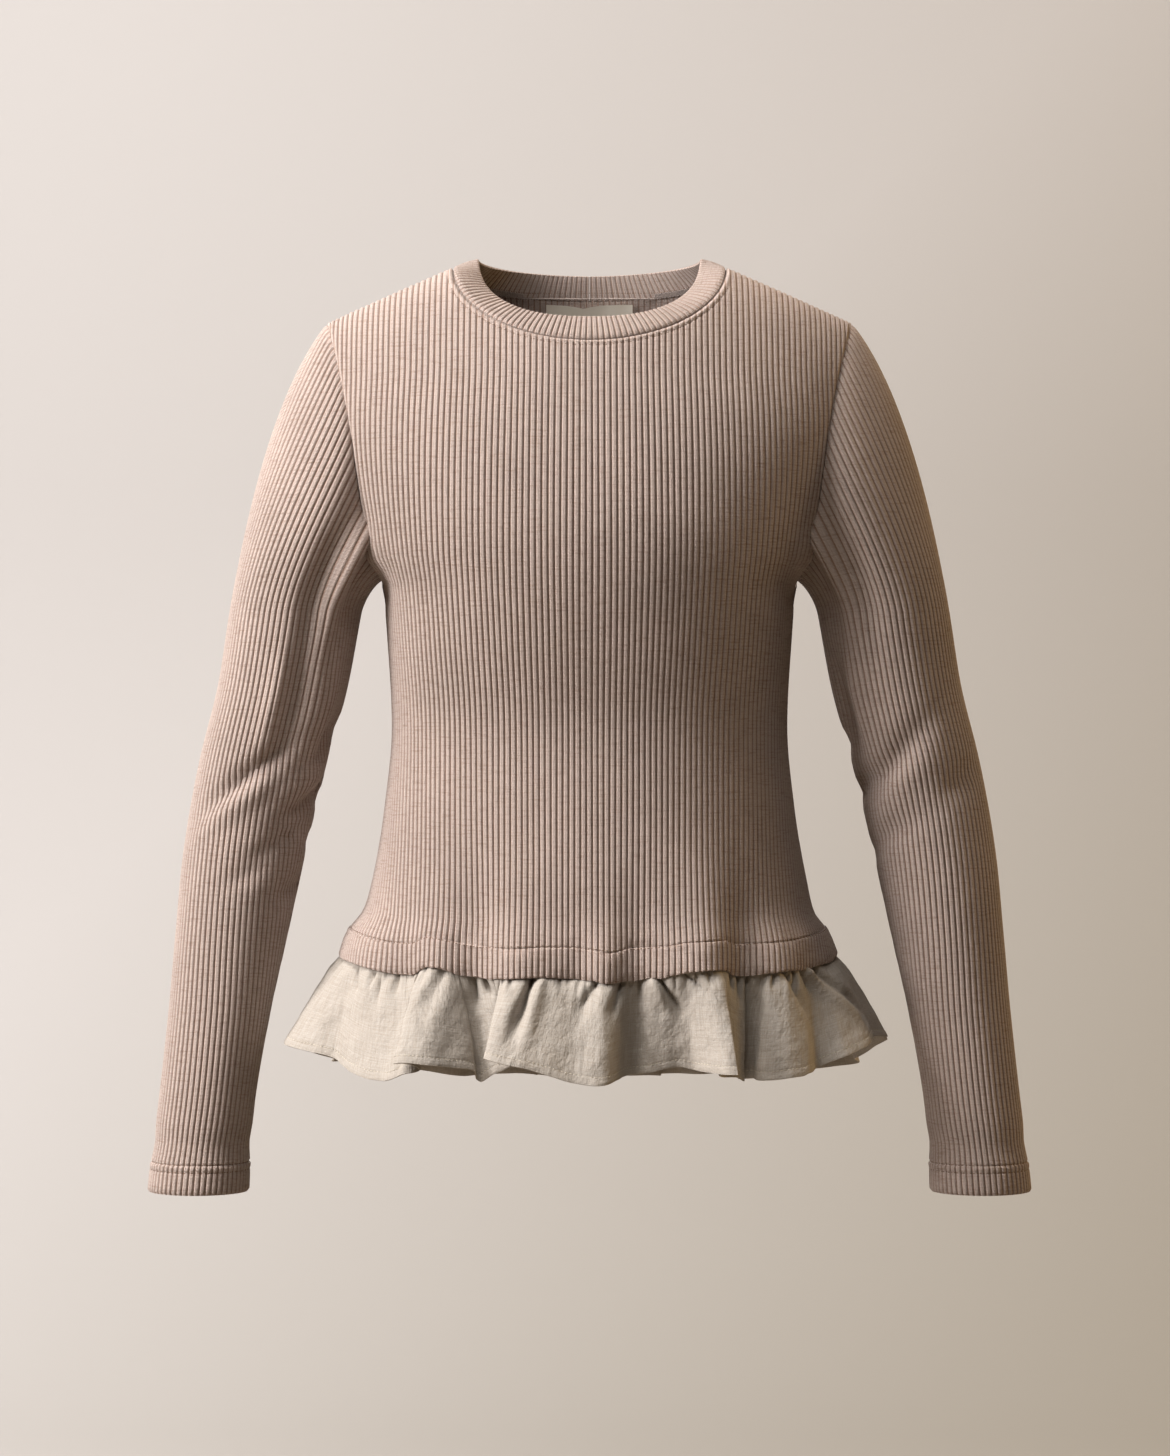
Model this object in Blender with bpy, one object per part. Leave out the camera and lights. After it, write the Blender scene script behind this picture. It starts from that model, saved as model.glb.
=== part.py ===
"""A long-sleeved rib-knit top with a gathered woven ruffle, filled out as it is when it is worn.

Every piece that a maker cuts and sews is one solid: front, back, two sleeves, neckband, the
front and back halves of the ruffle, and the neck label. The sizes below are in millimetres, and
add_solid() turns them into metres. The origin lies midway between the two shoulder seams, level
with their inner ends. +Z is up, the front faces -Y, and -X is the wearer's right.

A knit piece is placed by two numbers: a column, which counts half ribs from its middle, and a
row, which counts up from its hem. Even columns are the crests of ribs and odd ones the furrows.
"""

import math
from functools import cache

import bmesh
import bpy
import numpy as np
from mathutils import Vector
from mathutils.geometry import delaunay_2d_cdt

MM = 0.001  # metres

# ---- driving sizes -------------------------------------------------------------------------
KNIT_WALL = 1.2  # knit, measured in a furrow
RIB_RISE = 0.8  # a rib's crest over its furrow
HEM_EXTRA = 0.9  # what a turned hem adds to the wall
LINEN_WALL = 1.0
LABEL_WALL = 1.0
HALF_SEAM = 0.16  # each piece stops this far short of the seam line

NECK_HALF = 93.5  # centre to the inner end of the shoulder seam
FRONT_NECK_DROP = 55.0
BACK_NECK_DROP = 13.5
SHOULDER_SLOPE = 0.46
SHOULDER_SOFTNESS = 40.0  # rounds the shoulder line over the middle
UNDERARM_Z = -212.0
SIDE_HEM_Z = -471.0
HEM_DIP = {"front": 11.0, "back": 15.0}  # how much lower the hem is at its middle
SQUARENESS = 2.3  # exponent of the torso's rings: 2 is an ellipse
ROLL = 2.5  # exponent of the turn from the chest over the shoulder
ROLL_HEIGHT = {"front": 170.0, "back": 120.0}

# ---- torso rings: half width, how far front and back stand from the seam plane, rib pitch ----
TORSO_COLUMNS = ("z", "half_width", "front", "back", "rib")
TORSO = (
    (-520.0, 182.0, 121.0, 124.0, 3.90),
    (-471.0, 168.5, 114.0, 115.0, 3.90),
    (-457.0, 163.5, 110.5, 111.0, 3.90),
    (-442.0, 153.0, 106.0, 107.0, 3.88),
    (-420.0, 147.5, 102.0, 102.0, 3.88),
    (-371.0, 139.2, 94.0, 91.0, 3.90),
    (-314.0, 134.2, 88.0, 79.0, 3.92),
    (-257.0, 137.0, 97.0, 83.0, 4.08),
    (-212.0, 142.5, 104.0, 90.0, 4.20),
    (-205.0, 148.5, 104.5, 91.0, 4.21),
    (-187.0, 156.0, 105.0, 93.0, 4.22),
    (-147.0, 173.0, 101.0, 95.0, 4.20),
    (-106.0, 188.0, 94.0, 93.0, 4.15),
    (-70.0, 193.0, 87.0, 88.0, 4.10),
    (-38.0, 194.0, 82.0, 82.0, 4.10),
    (30.0, 194.0, 76.0, 74.0, 4.10),
)

# ---- armhole, seen from the front ------------------------------------------------------------
ARMHOLE_COLUMNS = ("z", "x")
ARMHOLE = (
    (-212.0, 142.5),
    (-205.0, 145.0),
    (-187.0, 150.5),
    (-147.0, 157.0),
    (-106.0, 163.5),
    (-70.0, 171.0),
    (-38.0, 180.0),
)
ARMHOLE_NODES = (
    -212.0, -211.0, -207.0, -198.0, -182.0, -158.0, -130.0, -103.0, -78.0, -57.0, -38.0
)  # heights of its corners, which the panels and the sleeve share

# ---- sleeve rings below the underarm ---------------------------------------------------------
SLEEVE_COLUMNS = ("z", "middle_x", "half_width", "middle_y", "half_depth", "rib")
SLEEVE = (
    (-660.0, 268.5, 33.0, -32.0, 34.0, 3.80),
    (-631.0, 267.0, 32.4, -30.0, 33.5, 3.80),
    (-608.0, 265.5, 31.6, -28.0, 33.0, 3.75),
    (-571.0, 261.8, 30.8, -25.0, 32.0, 3.70),
    (-514.0, 254.3, 32.6, -18.0, 34.0, 3.75),
    (-457.0, 246.0, 36.4, -11.0, 37.5, 3.80),
    (-400.0, 237.5, 40.0, -4.0, 41.0, 3.90),
    (-340.0, 225.5, 42.0, 2.0, 44.0, 3.95),
    (-285.0, 211.5, 42.7, 3.0, 47.0, 4.00),
    (-236.0, 203.0, 43.4, 2.0, 49.0, 4.10),
    (-200.0, 196.0, 44.0, 1.0, 50.0, 4.10),
)
BICEPS_Z = -236.0
CAP_HEIGHT = 125.0
CAP_PULL = 0.85  # how strongly the cap's curve follows its end directions

# ---- neckband --------------------------------------------------------------------------------
BAND_HALF_WIDTH = 76.0  # the open edge
BAND_RISE = 8.0  # the open edge over the shoulder seam, at the side
BAND_FRONT_DROP = 47.0
BAND_BACK_DROP = 3.2
BAND_FRONT = 65.0
BAND_BACK = 62.0
BAND_SQUARENESS = 2.4
BAND_WALL = 1.6  # two layers of fine rib
BAND_RIB_RISE = 0.7
BAND_RIBS = {"front": 39, "back": 34}  # in each quarter
NECK_NODES = 18  # shared corners of the neck seam, in each quarter

# ---- label -----------------------------------------------------------------------------------
LABEL_WIDTH = 61.0
LABEL_TOP_Z = -16.5
LABEL_HEIGHT = 34.0
LABEL_GAP = 1.7  # it hangs free of the back

# ---- rows of the meshes ----------------------------------------------------------------------
JOIN_Z = -226.0  # a level ring a little below the underarm
LOWER_ROWS = (0.0, 0.08, 0.52, 1.0)  # share of the way from hem to the level ring
UPPER_ROWS = (0.27, 0.54, 0.80, 0.955, 1.0)  # share of the way from there to the top edge
TOP_SOFTENING = (14.0, 10.0, 5.0, 0.0, 0.0)  # ribs over which those rows even out the top edge
SLEEVE_ROWS = (-631.0, -611.0, -510.0, -375.0, -236.0)
CAP_ROWS = (0.45, 0.80, 1.0)
ROW_SPREAD = 24.0  # makes triangles span neighbouring rows only
COARSE = 8  # the plain inside has one column for this many outside
RIM = 6  # and one for this many along a free edge

# ---- soft waves of the knit: where, how wide, how far it is pushed out -----------------------
WAVE_COLUMNS = ("x", "z", "across", "up", "push")
WAVES = {
    "front": (
        (-150.0, -478.0, 20.0, 34.0, 3.5),
        (-122.0, -478.0, 15.0, 30.0, -3.5),
        (-103.0, -480.0, 15.0, 36.0, 3.0),
        (-80.0, -480.0, 15.0, 60.0, -4.5),
        (-45.0, -482.0, 22.0, 45.0, 3.0),
        (20.0, -482.0, 22.0, 45.0, -3.5),
        (70.0, -480.0, 22.0, 55.0, 4.5),
        (104.0, -480.0, 15.0, 42.0, -4.5),
        (145.0, -478.0, 18.0, 34.0, 3.5),
    ),
    "back": (
        (-140.0, -480.0, 20.0, 36.0, 4.5),
        (-105.0, -482.0, 16.0, 42.0, -4.0),
        (-62.0, -484.0, 20.0, 50.0, 4.0),
        (-22.0, -484.0, 16.0, 52.0, -4.0),
        (18.0, -484.0, 18.0, 44.0, 4.5),
        (62.0, -482.0, 18.0, 48.0, -4.0),
        (104.0, -482.0, 18.0, 42.0, 4.0),
        (142.0, -480.0, 16.0, 34.0, -3.5),
        (0.0, -330.0, 70.0, 22.0, -3.0),
        (0.0, -285.0, 80.0, 20.0, 2.5),
    ),
}
CREASE_COLUMNS = ("turn", "z", "round", "up", "push")  # turn 0 is outermost, 1 the underarm seam
CREASES = {
    -1: (
        (0.42, -350.0, 0.30, 16.0, -3.5),
        (0.70, -325.0, 0.18, 13.0, -4.0),
        (0.78, -372.0, 0.16, 14.0, -4.5),
        (0.80, -348.0, 0.16, 12.0, 3.0),
        (-0.72, -352.0, 0.22, 15.0, -3.5),
        (0.86, -420.0, 0.14, 16.0, -3.0),
    ),
    1: (
        (-0.40, -345.0, 0.30, 16.0, -3.5),
        (-0.74, -318.0, 0.18, 14.0, -4.0),
        (-0.80, -362.0, 0.16, 13.0, -4.5),
        (-0.78, -340.0, 0.16, 12.0, 3.0),
        (0.70, -350.0, 0.22, 15.0, -3.5),
        (-0.86, -412.0, 0.14, 16.0, -3.0),
    ),
}

# ---- ruffle: each row is one ridge or hollow of its folds ------------------------------------
RUFFLE_LENGTH = 70.0  # below the hem's edge
RUFFLE_SET = 0.9  # how far its outer face stands inside the hem's wall
RUFFLE_SEAM = 0.35  # its top edge lies this far under the hem's edge
RUFFLE_FLARE = {"middle": 20.0, "side": 37.0}
RUFFLE_ROWS = (0.0, 0.4, 1.0)
RUFFLE_STEPS = 3  # mesh columns for each row of the table
# seam: place along the hem from the middle; edge: the same at the free edge; out: how far the
# free edge stands off the even flare; drop: how much lower it hangs
FOLD_COLUMNS = ("seam", "edge", "out", "drop")
FOLDS = {
    "front": (
        (-239.0, -239.0, 0.0, 0.0),
        (-222.0, -220.0, 5.0, 1.0),
        (-204.0, -200.0, -3.0, 3.0),
        (-186.0, -181.0, 5.0, 4.0),
        (-168.0, -162.0, -2.0, 4.0),
        (-150.0, -144.0, 6.0, 3.0),
        (-134.0, -127.0, 7.0, 0.0),
        (-127.0, -126.0, -1.0, -2.0),
        (-116.0, -112.0, 1.0, -3.0),
        (-103.0, -98.0, -4.0, -5.0),
        (-96.0, -84.0, -7.0, 0.0),
        (-90.0, -84.0, 5.0, 3.0),
        (-80.0, -70.0, 8.0, 6.0),
        (-70.0, -60.0, -8.0, 0.0),
        (-61.0, -56.0, -9.0, -2.0),
        (-53.0, -63.0, 4.0, -4.0),
        (-40.0, -52.0, 10.0, 0.0),
        (-24.0, -34.0, 6.0, 4.0),
        (-8.0, -16.0, 8.0, 6.0),
        (8.0, 2.0, 2.0, 6.0),
        (22.0, 20.0, 6.0, 4.0),
        (36.0, 36.0, -4.0, 3.0),
        (50.0, 52.0, 2.0, 2.0),
        (64.0, 70.0, 9.0, 1.0),
        (79.0, 86.0, 11.0, 1.0),
        (86.0, 93.0, 8.0, 1.0),
        (91.0, 90.0, -3.0, 3.0),
        (99.0, 99.0, -2.0, 4.0),
        (110.0, 108.0, 4.0, 4.0),
        (116.0, 116.0, -8.0, 2.0),
        (126.0, 124.0, 2.0, 3.0),
        (144.0, 143.0, 5.0, 4.0),
        (162.0, 163.0, -2.0, 3.0),
        (182.0, 184.0, 5.0, 2.0),
        (202.0, 205.0, -3.0, 2.0),
        (222.0, 224.0, 5.0, 0.0),
        (239.0, 239.0, 0.0, 0.0),
    ),
    "back": (
        (-241.0, -241.0, 0.0, 0.0),
        (-224.0, -226.0, 6.0, 4.0),
        (-206.0, -204.0, -5.0, 9.0),
        (-186.0, -184.0, 6.0, 12.0),
        (-170.0, -166.0, -6.0, 13.0),
        (-152.0, -146.0, 8.0, 13.0),
        (-140.0, -134.0, 6.0, 14.0),
        (-134.0, -136.0, -4.0, 14.0),
        (-118.0, -120.0, -6.0, 13.0),
        (-102.0, -100.0, 6.0, 14.0),
        (-86.0, -82.0, -5.0, 14.0),
        (-68.0, -62.0, 8.0, 15.0),
        (-56.0, -50.0, 7.0, 15.0),
        (-50.0, -52.0, -4.0, 15.0),
        (-34.0, -36.0, -6.0, 14.0),
        (-16.0, -16.0, 7.0, 15.0),
        (2.0, 2.0, -5.0, 15.0),
        (20.0, 24.0, 7.0, 16.0),
        (36.0, 40.0, 7.0, 16.0),
        (42.0, 38.0, -4.0, 15.0),
        (58.0, 56.0, -6.0, 14.0),
        (76.0, 76.0, 6.0, 15.0),
        (94.0, 95.0, -6.0, 14.0),
        (112.0, 116.0, 8.0, 14.0),
        (125.0, 129.0, 6.0, 14.0),
        (132.0, 128.0, -4.0, 13.0),
        (150.0, 148.0, -5.0, 12.0),
        (170.0, 170.0, 6.0, 12.0),
        (190.0, 190.0, -5.0, 9.0),
        (208.0, 210.0, 6.0, 6.0),
        (224.0, 226.0, -3.0, 3.0),
        (241.0, 241.0, 0.0, 0.0),
    ),
}

MATERIALS = {  # colour, roughness, metallic
    "rib_knit": ((0.47, 0.35, 0.29, 1.0), 0.92, 0.0),
    "linen": ((0.62, 0.58, 0.50, 1.0), 0.88, 0.0),
    "label_cotton": ((0.82, 0.78, 0.66, 1.0), 0.85, 0.0),
}


# ---- tables and curves -----------------------------------------------------------------------
def smooth(columns, rows, name, at):
    """A named column of a table, read anywhere between its rows without overshoot."""
    table = np.array(rows)
    xs, ys = table[:, 0], table[:, columns.index(name)]
    return cubic(xs, ys, at)


def cubic(xs, ys, at):
    """Monotone cubic through the points, flat beyond the ends."""
    step = np.diff(xs)
    slope = np.diff(ys) / step
    tangent = np.zeros_like(ys)
    same_way = slope[:-1] * slope[1:] > 0
    weight_a, weight_b = 2 * step[1:] + step[:-1], step[1:] + 2 * step[:-1]
    safe_a = np.where(same_way, slope[:-1], 1.0)
    safe_b = np.where(same_way, slope[1:], 1.0)
    blended = (weight_a + weight_b) / (weight_a / safe_a + weight_b / safe_b)
    tangent[1:-1] = np.where(same_way, blended, 0.0)
    tangent[0], tangent[-1] = slope[0], slope[-1]
    at = np.clip(np.asarray(at, float), xs[0], xs[-1])
    k = np.clip(np.searchsorted(xs, at, side="right") - 1, 0, len(xs) - 2)
    t = (at - xs[k]) / step[k]
    return (
        (2 * t**3 - 3 * t**2 + 1) * ys[k]
        + (t**3 - 2 * t**2 + t) * step[k] * tangent[k]
        + (3 * t**2 - 2 * t**3) * ys[k + 1]
        + (t**3 - t**2) * step[k] * tangent[k + 1]
    )


def unit(vectors):
    return vectors / np.maximum(np.linalg.norm(vectors, axis=-1, keepdims=True), 1e-9)


def along(points):
    """Distance from the first point along a polyline."""
    steps = np.linalg.norm(np.diff(points, axis=0), axis=1)
    return np.concatenate([[0.0], np.cumsum(steps)])


def on_polyline(points, share):
    """The points at these shares of a polyline's length."""
    travelled = along(points)
    at = np.clip(share, 0, 1) * travelled[-1]
    return np.stack([np.interp(at, travelled, points[:, k]) for k in range(3)], axis=-1)


# ---- torso -----------------------------------------------------------------------------------
RING_LEVELS = np.linspace(-520.0, 30.0, 221)
RING_SHARES = np.linspace(0.0, 1.0, 241)


def ring_lookup(rings, wide, deep, exponent):
    """For each ring, its quarter's length, and where each share of that length lies on it."""
    turn = np.linspace(0.0, math.pi / 2, 241)
    across = np.sin(turn) ** (2 / exponent)
    forward = np.cos(turn) ** (2 / exponent)
    lengths, across_at, forward_at = [], [], []
    for half_width, half_depth in zip(wide, deep):
        line = np.stack([half_width * across, half_depth * forward, 0 * turn], axis=-1)
        travelled = along(line)
        share = travelled / travelled[-1]
        lengths.append(travelled[-1])
        across_at.append(np.interp(RING_SHARES, share, across))
        forward_at.append(np.interp(RING_SHARES, share, forward))
    return {
        "levels": rings,
        "length": np.array(lengths),
        "across": np.array(across_at),
        "forward": np.array(forward_at),
    }


def look_up(lookup, name, share, level):
    """Reads a ring lookup between its levels and shares."""
    levels, table = lookup["levels"], lookup[name]
    a = (np.clip(level, levels[0], levels[-1]) - levels[0]) / (levels[1] - levels[0])
    b = np.clip(share, 0, 1) * (table.shape[1] - 1)
    i = np.clip(a.astype(int), 0, table.shape[0] - 2)
    j = np.clip(b.astype(int), 0, table.shape[1] - 2)
    a, b = a - i, b - j
    low = table[i, j] * (1 - b) + table[i, j + 1] * b
    high = table[i + 1, j] * (1 - b) + table[i + 1, j + 1] * b
    return low * (1 - a) + high * a


def torso(name, at):
    return smooth(TORSO_COLUMNS, TORSO, name, at)


TORSO_RINGS = {
    side: ring_lookup(
        RING_LEVELS, torso("half_width", RING_LEVELS), torso(side, RING_LEVELS), SQUARENESS
    )
    for side in ("front", "back")
}


def shoulder_z(x):
    """Height of the shoulder line over a point x from the middle."""
    reach = math.hypot(NECK_HALF, SHOULDER_SOFTNESS)
    return SHOULDER_SLOPE * (reach - np.hypot(x, SHOULDER_SOFTNESS))


def neck_z(side, x):
    drop = FRONT_NECK_DROP if side == "front" else BACK_NECK_DROP
    return -drop * np.sqrt(np.maximum(0.0, 1 - (x / NECK_HALF) ** 2))


def roll(side, x, z):
    """0 on the shoulder line, rising to 1 where the cloth hangs straight."""
    below = np.clip((shoulder_z(x) - z) / ROLL_HEIGHT[side], 0, 1)
    return (1 - (1 - below) ** ROLL) ** (1 / ROLL)


def depth_at(side, x, z):
    """How far the cloth stands from the seam plane at x and z, without waves."""
    share = np.clip(np.abs(x) / torso("half_width", z), 0, 1)
    straight = torso(side, z) * (1 - share**SQUARENESS) ** (1 / SQUARENESS)
    return straight * roll(side, x, z)


def quarter(side, z):
    rings = TORSO_RINGS[side]
    return np.interp(z, rings["levels"], rings["length"])


def body_point(side, rib, z):
    """The torso's inner face at this many ribs from the middle, at height z."""
    rib, z = np.broadcast_arrays(np.asarray(rib, float), np.asarray(z, float))
    share = np.abs(rib) * torso("rib", z) / quarter(side, z)
    rings = TORSO_RINGS[side]
    across = look_up(rings, "across", share, z) * torso("half_width", z)
    deep = look_up(rings, "forward", share, z) * torso(side, z) * roll(side, across, z)
    way = 1.0 if side == "front" else -1.0
    return np.stack([way * np.sign(rib) * across, -way * deep, z], axis=-1)


def find_tops(side):
    """Heights at which the columns reach the neckline or the shoulder seam."""
    ribs = np.linspace(0, 60, 1201)
    z = np.zeros_like(ribs)
    for _ in range(40):
        x = np.abs(body_point(side, ribs, z)[..., 0])
        goal = np.where(x < NECK_HALF, neck_z(side, x), shoulder_z(x))
        z = z + 0.6 * (goal - z)
    return ribs, z


TOPS = {side: find_tops(side) for side in ("front", "back")}


def top_z(side, rib, softening=0.0):
    """The top edge, or the same evened out over this many ribs."""
    if not softening:
        return np.interp(np.abs(rib), *TOPS[side])
    spread = np.linspace(-1, 1, 9)
    return np.mean([np.interp(np.abs(rib + softening * k), *TOPS[side]) for k in spread], axis=0)


HEM_RIBS = {
    side: float(quarter(side, SIDE_HEM_Z) / torso("rib", SIDE_HEM_Z)) for side in TORSO_RINGS
}


def hem_z(side, rib):
    share = np.clip(np.abs(rib) / HEM_RIBS[side], 0, 1)
    return SIDE_HEM_Z - HEM_DIP[side] * (1 - share**2)


LAST_LOWER = len(LOWER_ROWS) - 1
LAST_ROW = LAST_LOWER + len(UPPER_ROWS)


def row_z(side, rib, row):
    """Height of a row at a column: from the hem to the level ring, then on to the top edge."""
    rib, row = np.broadcast_arrays(np.asarray(rib, float), np.asarray(row, float))
    low = np.interp(row, range(LAST_LOWER + 1), LOWER_ROWS)
    hem = hem_z(side, rib)
    levels = [hem + low * (JOIN_Z - hem), np.full_like(rib, JOIN_Z)]
    for share, softening in zip(UPPER_ROWS, TOP_SOFTENING):
        levels.append(JOIN_Z + share * (top_z(side, rib, softening) - JOIN_Z))
    z = levels[0]
    for k in range(len(UPPER_ROWS)):
        part = row - LAST_LOWER - k
        z = np.where(part > 0, levels[k + 1] + part * (levels[k + 2] - levels[k + 1]), z)
    return z


def bumps(columns, rows, across, up):
    """The sum of soft pushes in a table, at these places."""
    total = np.zeros(np.broadcast(across, up).shape)
    for place, height, wide, tall, push in rows:
        total += push * np.exp(-(((across - place) / wide) ** 2) - ((up - height) / tall) ** 2)
    return total


def on_row(side, column, row):
    """The inner face of a torso panel, with its waves, and the way out of it."""
    step = 0.05

    def plain(c, r):
        return body_point(side, c / 2, row_z(side, c / 2, r))

    low, high = np.clip(row - step, 0, LAST_ROW), np.clip(row + step, 0, LAST_ROW)
    across = plain(column + step, row) - plain(column - step, row)
    out = unit(np.cross(across, plain(column, high) - plain(column, low)))
    point = plain(column, row)
    push = bumps(WAVE_COLUMNS, WAVES[side], point[..., 0], point[..., 2])
    return point + out * push[..., None], out


def panel_base(side, column, row):
    """The same, straight between neighbouring rows as the mesh is."""
    column, row = np.asarray(column, float), np.asarray(row, float)
    below = np.floor(row)
    part = (row - below)[..., None]
    low, low_out = on_row(side, column, below)
    high, high_out = on_row(side, column, np.minimum(below + 1, LAST_ROW))
    return low + part * (high - low), unit(low_out + part * (high_out - low_out))


def armhole_x(z):
    return smooth(ARMHOLE_COLUMNS, ARMHOLE, "x", z)


@cache
def edge_column(side, row):
    """The column at which a row meets the side seam or the armhole."""
    low, high = 20.0, 150.0
    for _ in range(30):
        middle = (low + high) / 2
        inside = is_inside(side, middle / 2, float(row_z(side, middle / 2, row)))
        low, high = (middle, high) if inside else (low, middle)
    return low


def is_inside(side, rib, z):
    """True between the side seams, and above the underarm between the armholes."""
    if z < UNDERARM_Z:
        return rib * float(torso("rib", z)) < float(quarter(side, z))
    return abs(float(body_point(side, rib, z)[0])) < float(armhole_x(z))


# ---- armhole seam ----------------------------------------------------------------------------
@cache
def armhole_place(side, z):
    """The column and row of the armhole at this height."""
    low, high = 20.0, 150.0
    for _ in range(30):
        middle = (low + high) / 2
        x = abs(float(body_point(side, middle / 2, z)[0]))
        low, high = (middle, high) if x < float(armhole_x(z)) else (low, middle)
    rows = np.linspace(LAST_LOWER, LAST_ROW, 1601)
    return low, float(np.interp(z, row_z(side, low / 2, rows), rows))


def armhole_nodes(side):
    """Corners of the armhole from underarm to shoulder tip, on the wearer's right (-X)."""
    way = -1.0 if side == "front" else 1.0
    places = np.array([armhole_place(side, z) for z in ARMHOLE_NODES])
    points, outs = panel_base(side, way * places[:, 0], places[:, 1])
    points[[0, -1], 1] = 0.0
    return points, outs


ARM = {side: armhole_nodes(side) for side in ("front", "back")}


def leaving(share, front):
    """The direction in which the sleeve leaves the armhole. share 0 is the tip, 1 the underarm."""
    crown, underarm = np.array((-0.62, 0.0, -0.78)), np.array((-0.99, 0.0, -0.12))
    mix = (share**1.5)[..., None]
    direction = crown * (1 - mix) + underarm * mix
    direction = direction.copy()
    direction[..., 1] += np.where(front, -0.34, 0.34) * np.sin(math.pi * share)
    return unit(direction)


def seam_out(side):
    """At each armhole node, the shared way out of panel and sleeve, long enough to mitre them."""
    points, body_outs = ARM[side]
    tangent = unit(np.gradient(points, axis=0))  # underarm to tip
    share = 1 - along(points) / along(points)[-1]
    away = leaving(share, side == "front")
    sleeve_out = unit(np.cross(tangent, away))
    middle = np.array((-160.0, 0.0, -125.0))
    sleeve_out *= np.sign((sleeve_out * (points - middle)).sum(axis=1, keepdims=True))
    both = unit(body_outs + sleeve_out)
    both[[0, -1], 1] = 0.0
    reach = 1 / np.maximum((both * body_outs).sum(axis=1, keepdims=True), 0.85)
    return both * reach


def shared_outs():
    """The mitres of both sides, which agree at the underarm and the shoulder tip."""
    outs = {side: seam_out(side) for side in ("front", "back")}
    for end in (0, -1):
        middle = (outs["front"][end] + outs["back"][end]) / 2
        outs["front"][end] = outs["back"][end] = middle
    return outs


ARM_OUT = shared_outs()


# ---- meshes ----------------------------------------------------------------------------------
def triangulate(places, outline_count):
    """Triangles over the first points' closed outline and the points inside it."""
    places = [(column, ROW_SPREAD * row) for column, row in places]
    edges = [(k, (k + 1) % outline_count) for k in range(outline_count)]
    made = delaunay_2d_cdt([Vector(p) for p in places], edges, [], 1, 1e-6)
    faces = []
    for face in made[2]:
        ids = [made[3][v][0] for v in face]
        (ax, ay), (bx, by), (cx, cy) = (places[k] for k in ids)
        turn = (bx - ax) * (cy - ay) - (cx - ax) * (by - ay)
        faces.append(ids if turn > 0 else ids[::-1])
    return faces


def add_solid(name, points, faces, material, parent):
    mesh = bpy.data.meshes.new(name)
    mesh.from_pydata([tuple(p * MM) for p in points], [], faces)
    form = bmesh.new()
    form.from_mesh(mesh)
    bmesh.ops.recalc_face_normals(form, faces=form.faces)
    if form.calc_volume(signed=True) < 0:
        bmesh.ops.reverse_faces(form, faces=form.faces)
    form.to_mesh(mesh)
    form.free()
    mesh.shade_smooth()
    mesh.set_sharp_from_angle(angle=math.radians(50))
    mesh.materials.append(material)
    solid = bpy.data.objects.new(name, mesh)
    bpy.context.scene.collection.objects.link(solid)
    solid.parent = parent
    return solid


def sheet(name, outline, inside, coarse_inside, wall, material, parent):
    """A cloth wall. outline and inside hold index, base and out; an outline point that is also
    kept on the coarse inner face has keep set. The two faces are joined round the outline."""
    ring = len(outline["index"])
    outer_index = [tuple(p) for p in outline["index"]] + [tuple(p) for p in inside["index"]]
    outer_base = np.vstack([outline["base"], inside["base"]])
    outer_out = np.vstack([outline["out"], inside["out"]])
    outer = outer_base + outer_out * wall(np.array(outer_index))[:, None]
    kept = [k for k in range(ring) if outline["keep"][k]]
    inner_index = [outer_index[k] for k in kept] + [tuple(p) for p in coarse_inside["index"]]
    inner = np.vstack([outline["base"][kept], coarse_inside["base"]])
    faces = triangulate(outer_index, ring)
    shift = len(outer)
    faces += [[shift + k for k in face[::-1]] for face in triangulate(inner_index, len(kept))]
    for place, start in enumerate(kept):
        following = (place + 1) % len(kept)
        end = kept[following] if kept[following] > start else kept[following] + ring
        middle = (start + end) // 2
        for k in range(start, end):
            near = place if k < middle else following
            faces.append([(k + 1) % ring, k % ring, shift + near])
        faces.append([middle % ring, shift + place, shift + following])
    return add_solid(name, np.vstack([outer, inner]), faces, material, parent)


def rib_height(column):
    """1 on a rib's crest, 0 in a furrow."""
    return 0.5 + 0.5 * np.cos(math.pi * column)


def lattice(step, rows, limit, margin, place):
    """The points of a grid that lie inside a piece by at least margin columns. A coarse grid is
    finer in its first and last row, and a little finer in its upper half."""
    index = []
    for row in rows:
        each = step
        if step > RIM:
            each = RIM if row == rows[0] else step - 2 * (row > len(rows) / 2)
            each = step / 2 if row == rows[-1] else each
        reach = int((limit[row] - margin) // each)
        index += [(float(each * k), row) for k in range(-reach, reach + 1)]
    columns_in, rows_in = np.array(index, float).T
    base, out = place(columns_in, rows_in)
    return {"index": index, "base": base, "out": out}


# ---- front and back --------------------------------------------------------------------------
def inset(side, column, row):
    """Pulls an edge column back by half a seam."""
    rib = float(torso("rib", float(row_z(side, column / 2, row))))
    return column - 2 * HALF_SEAM / rib


def edge_point(side, column, row, keep):
    base, out = panel_base(side, column, row)
    return column, row, keep, base, out


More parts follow.
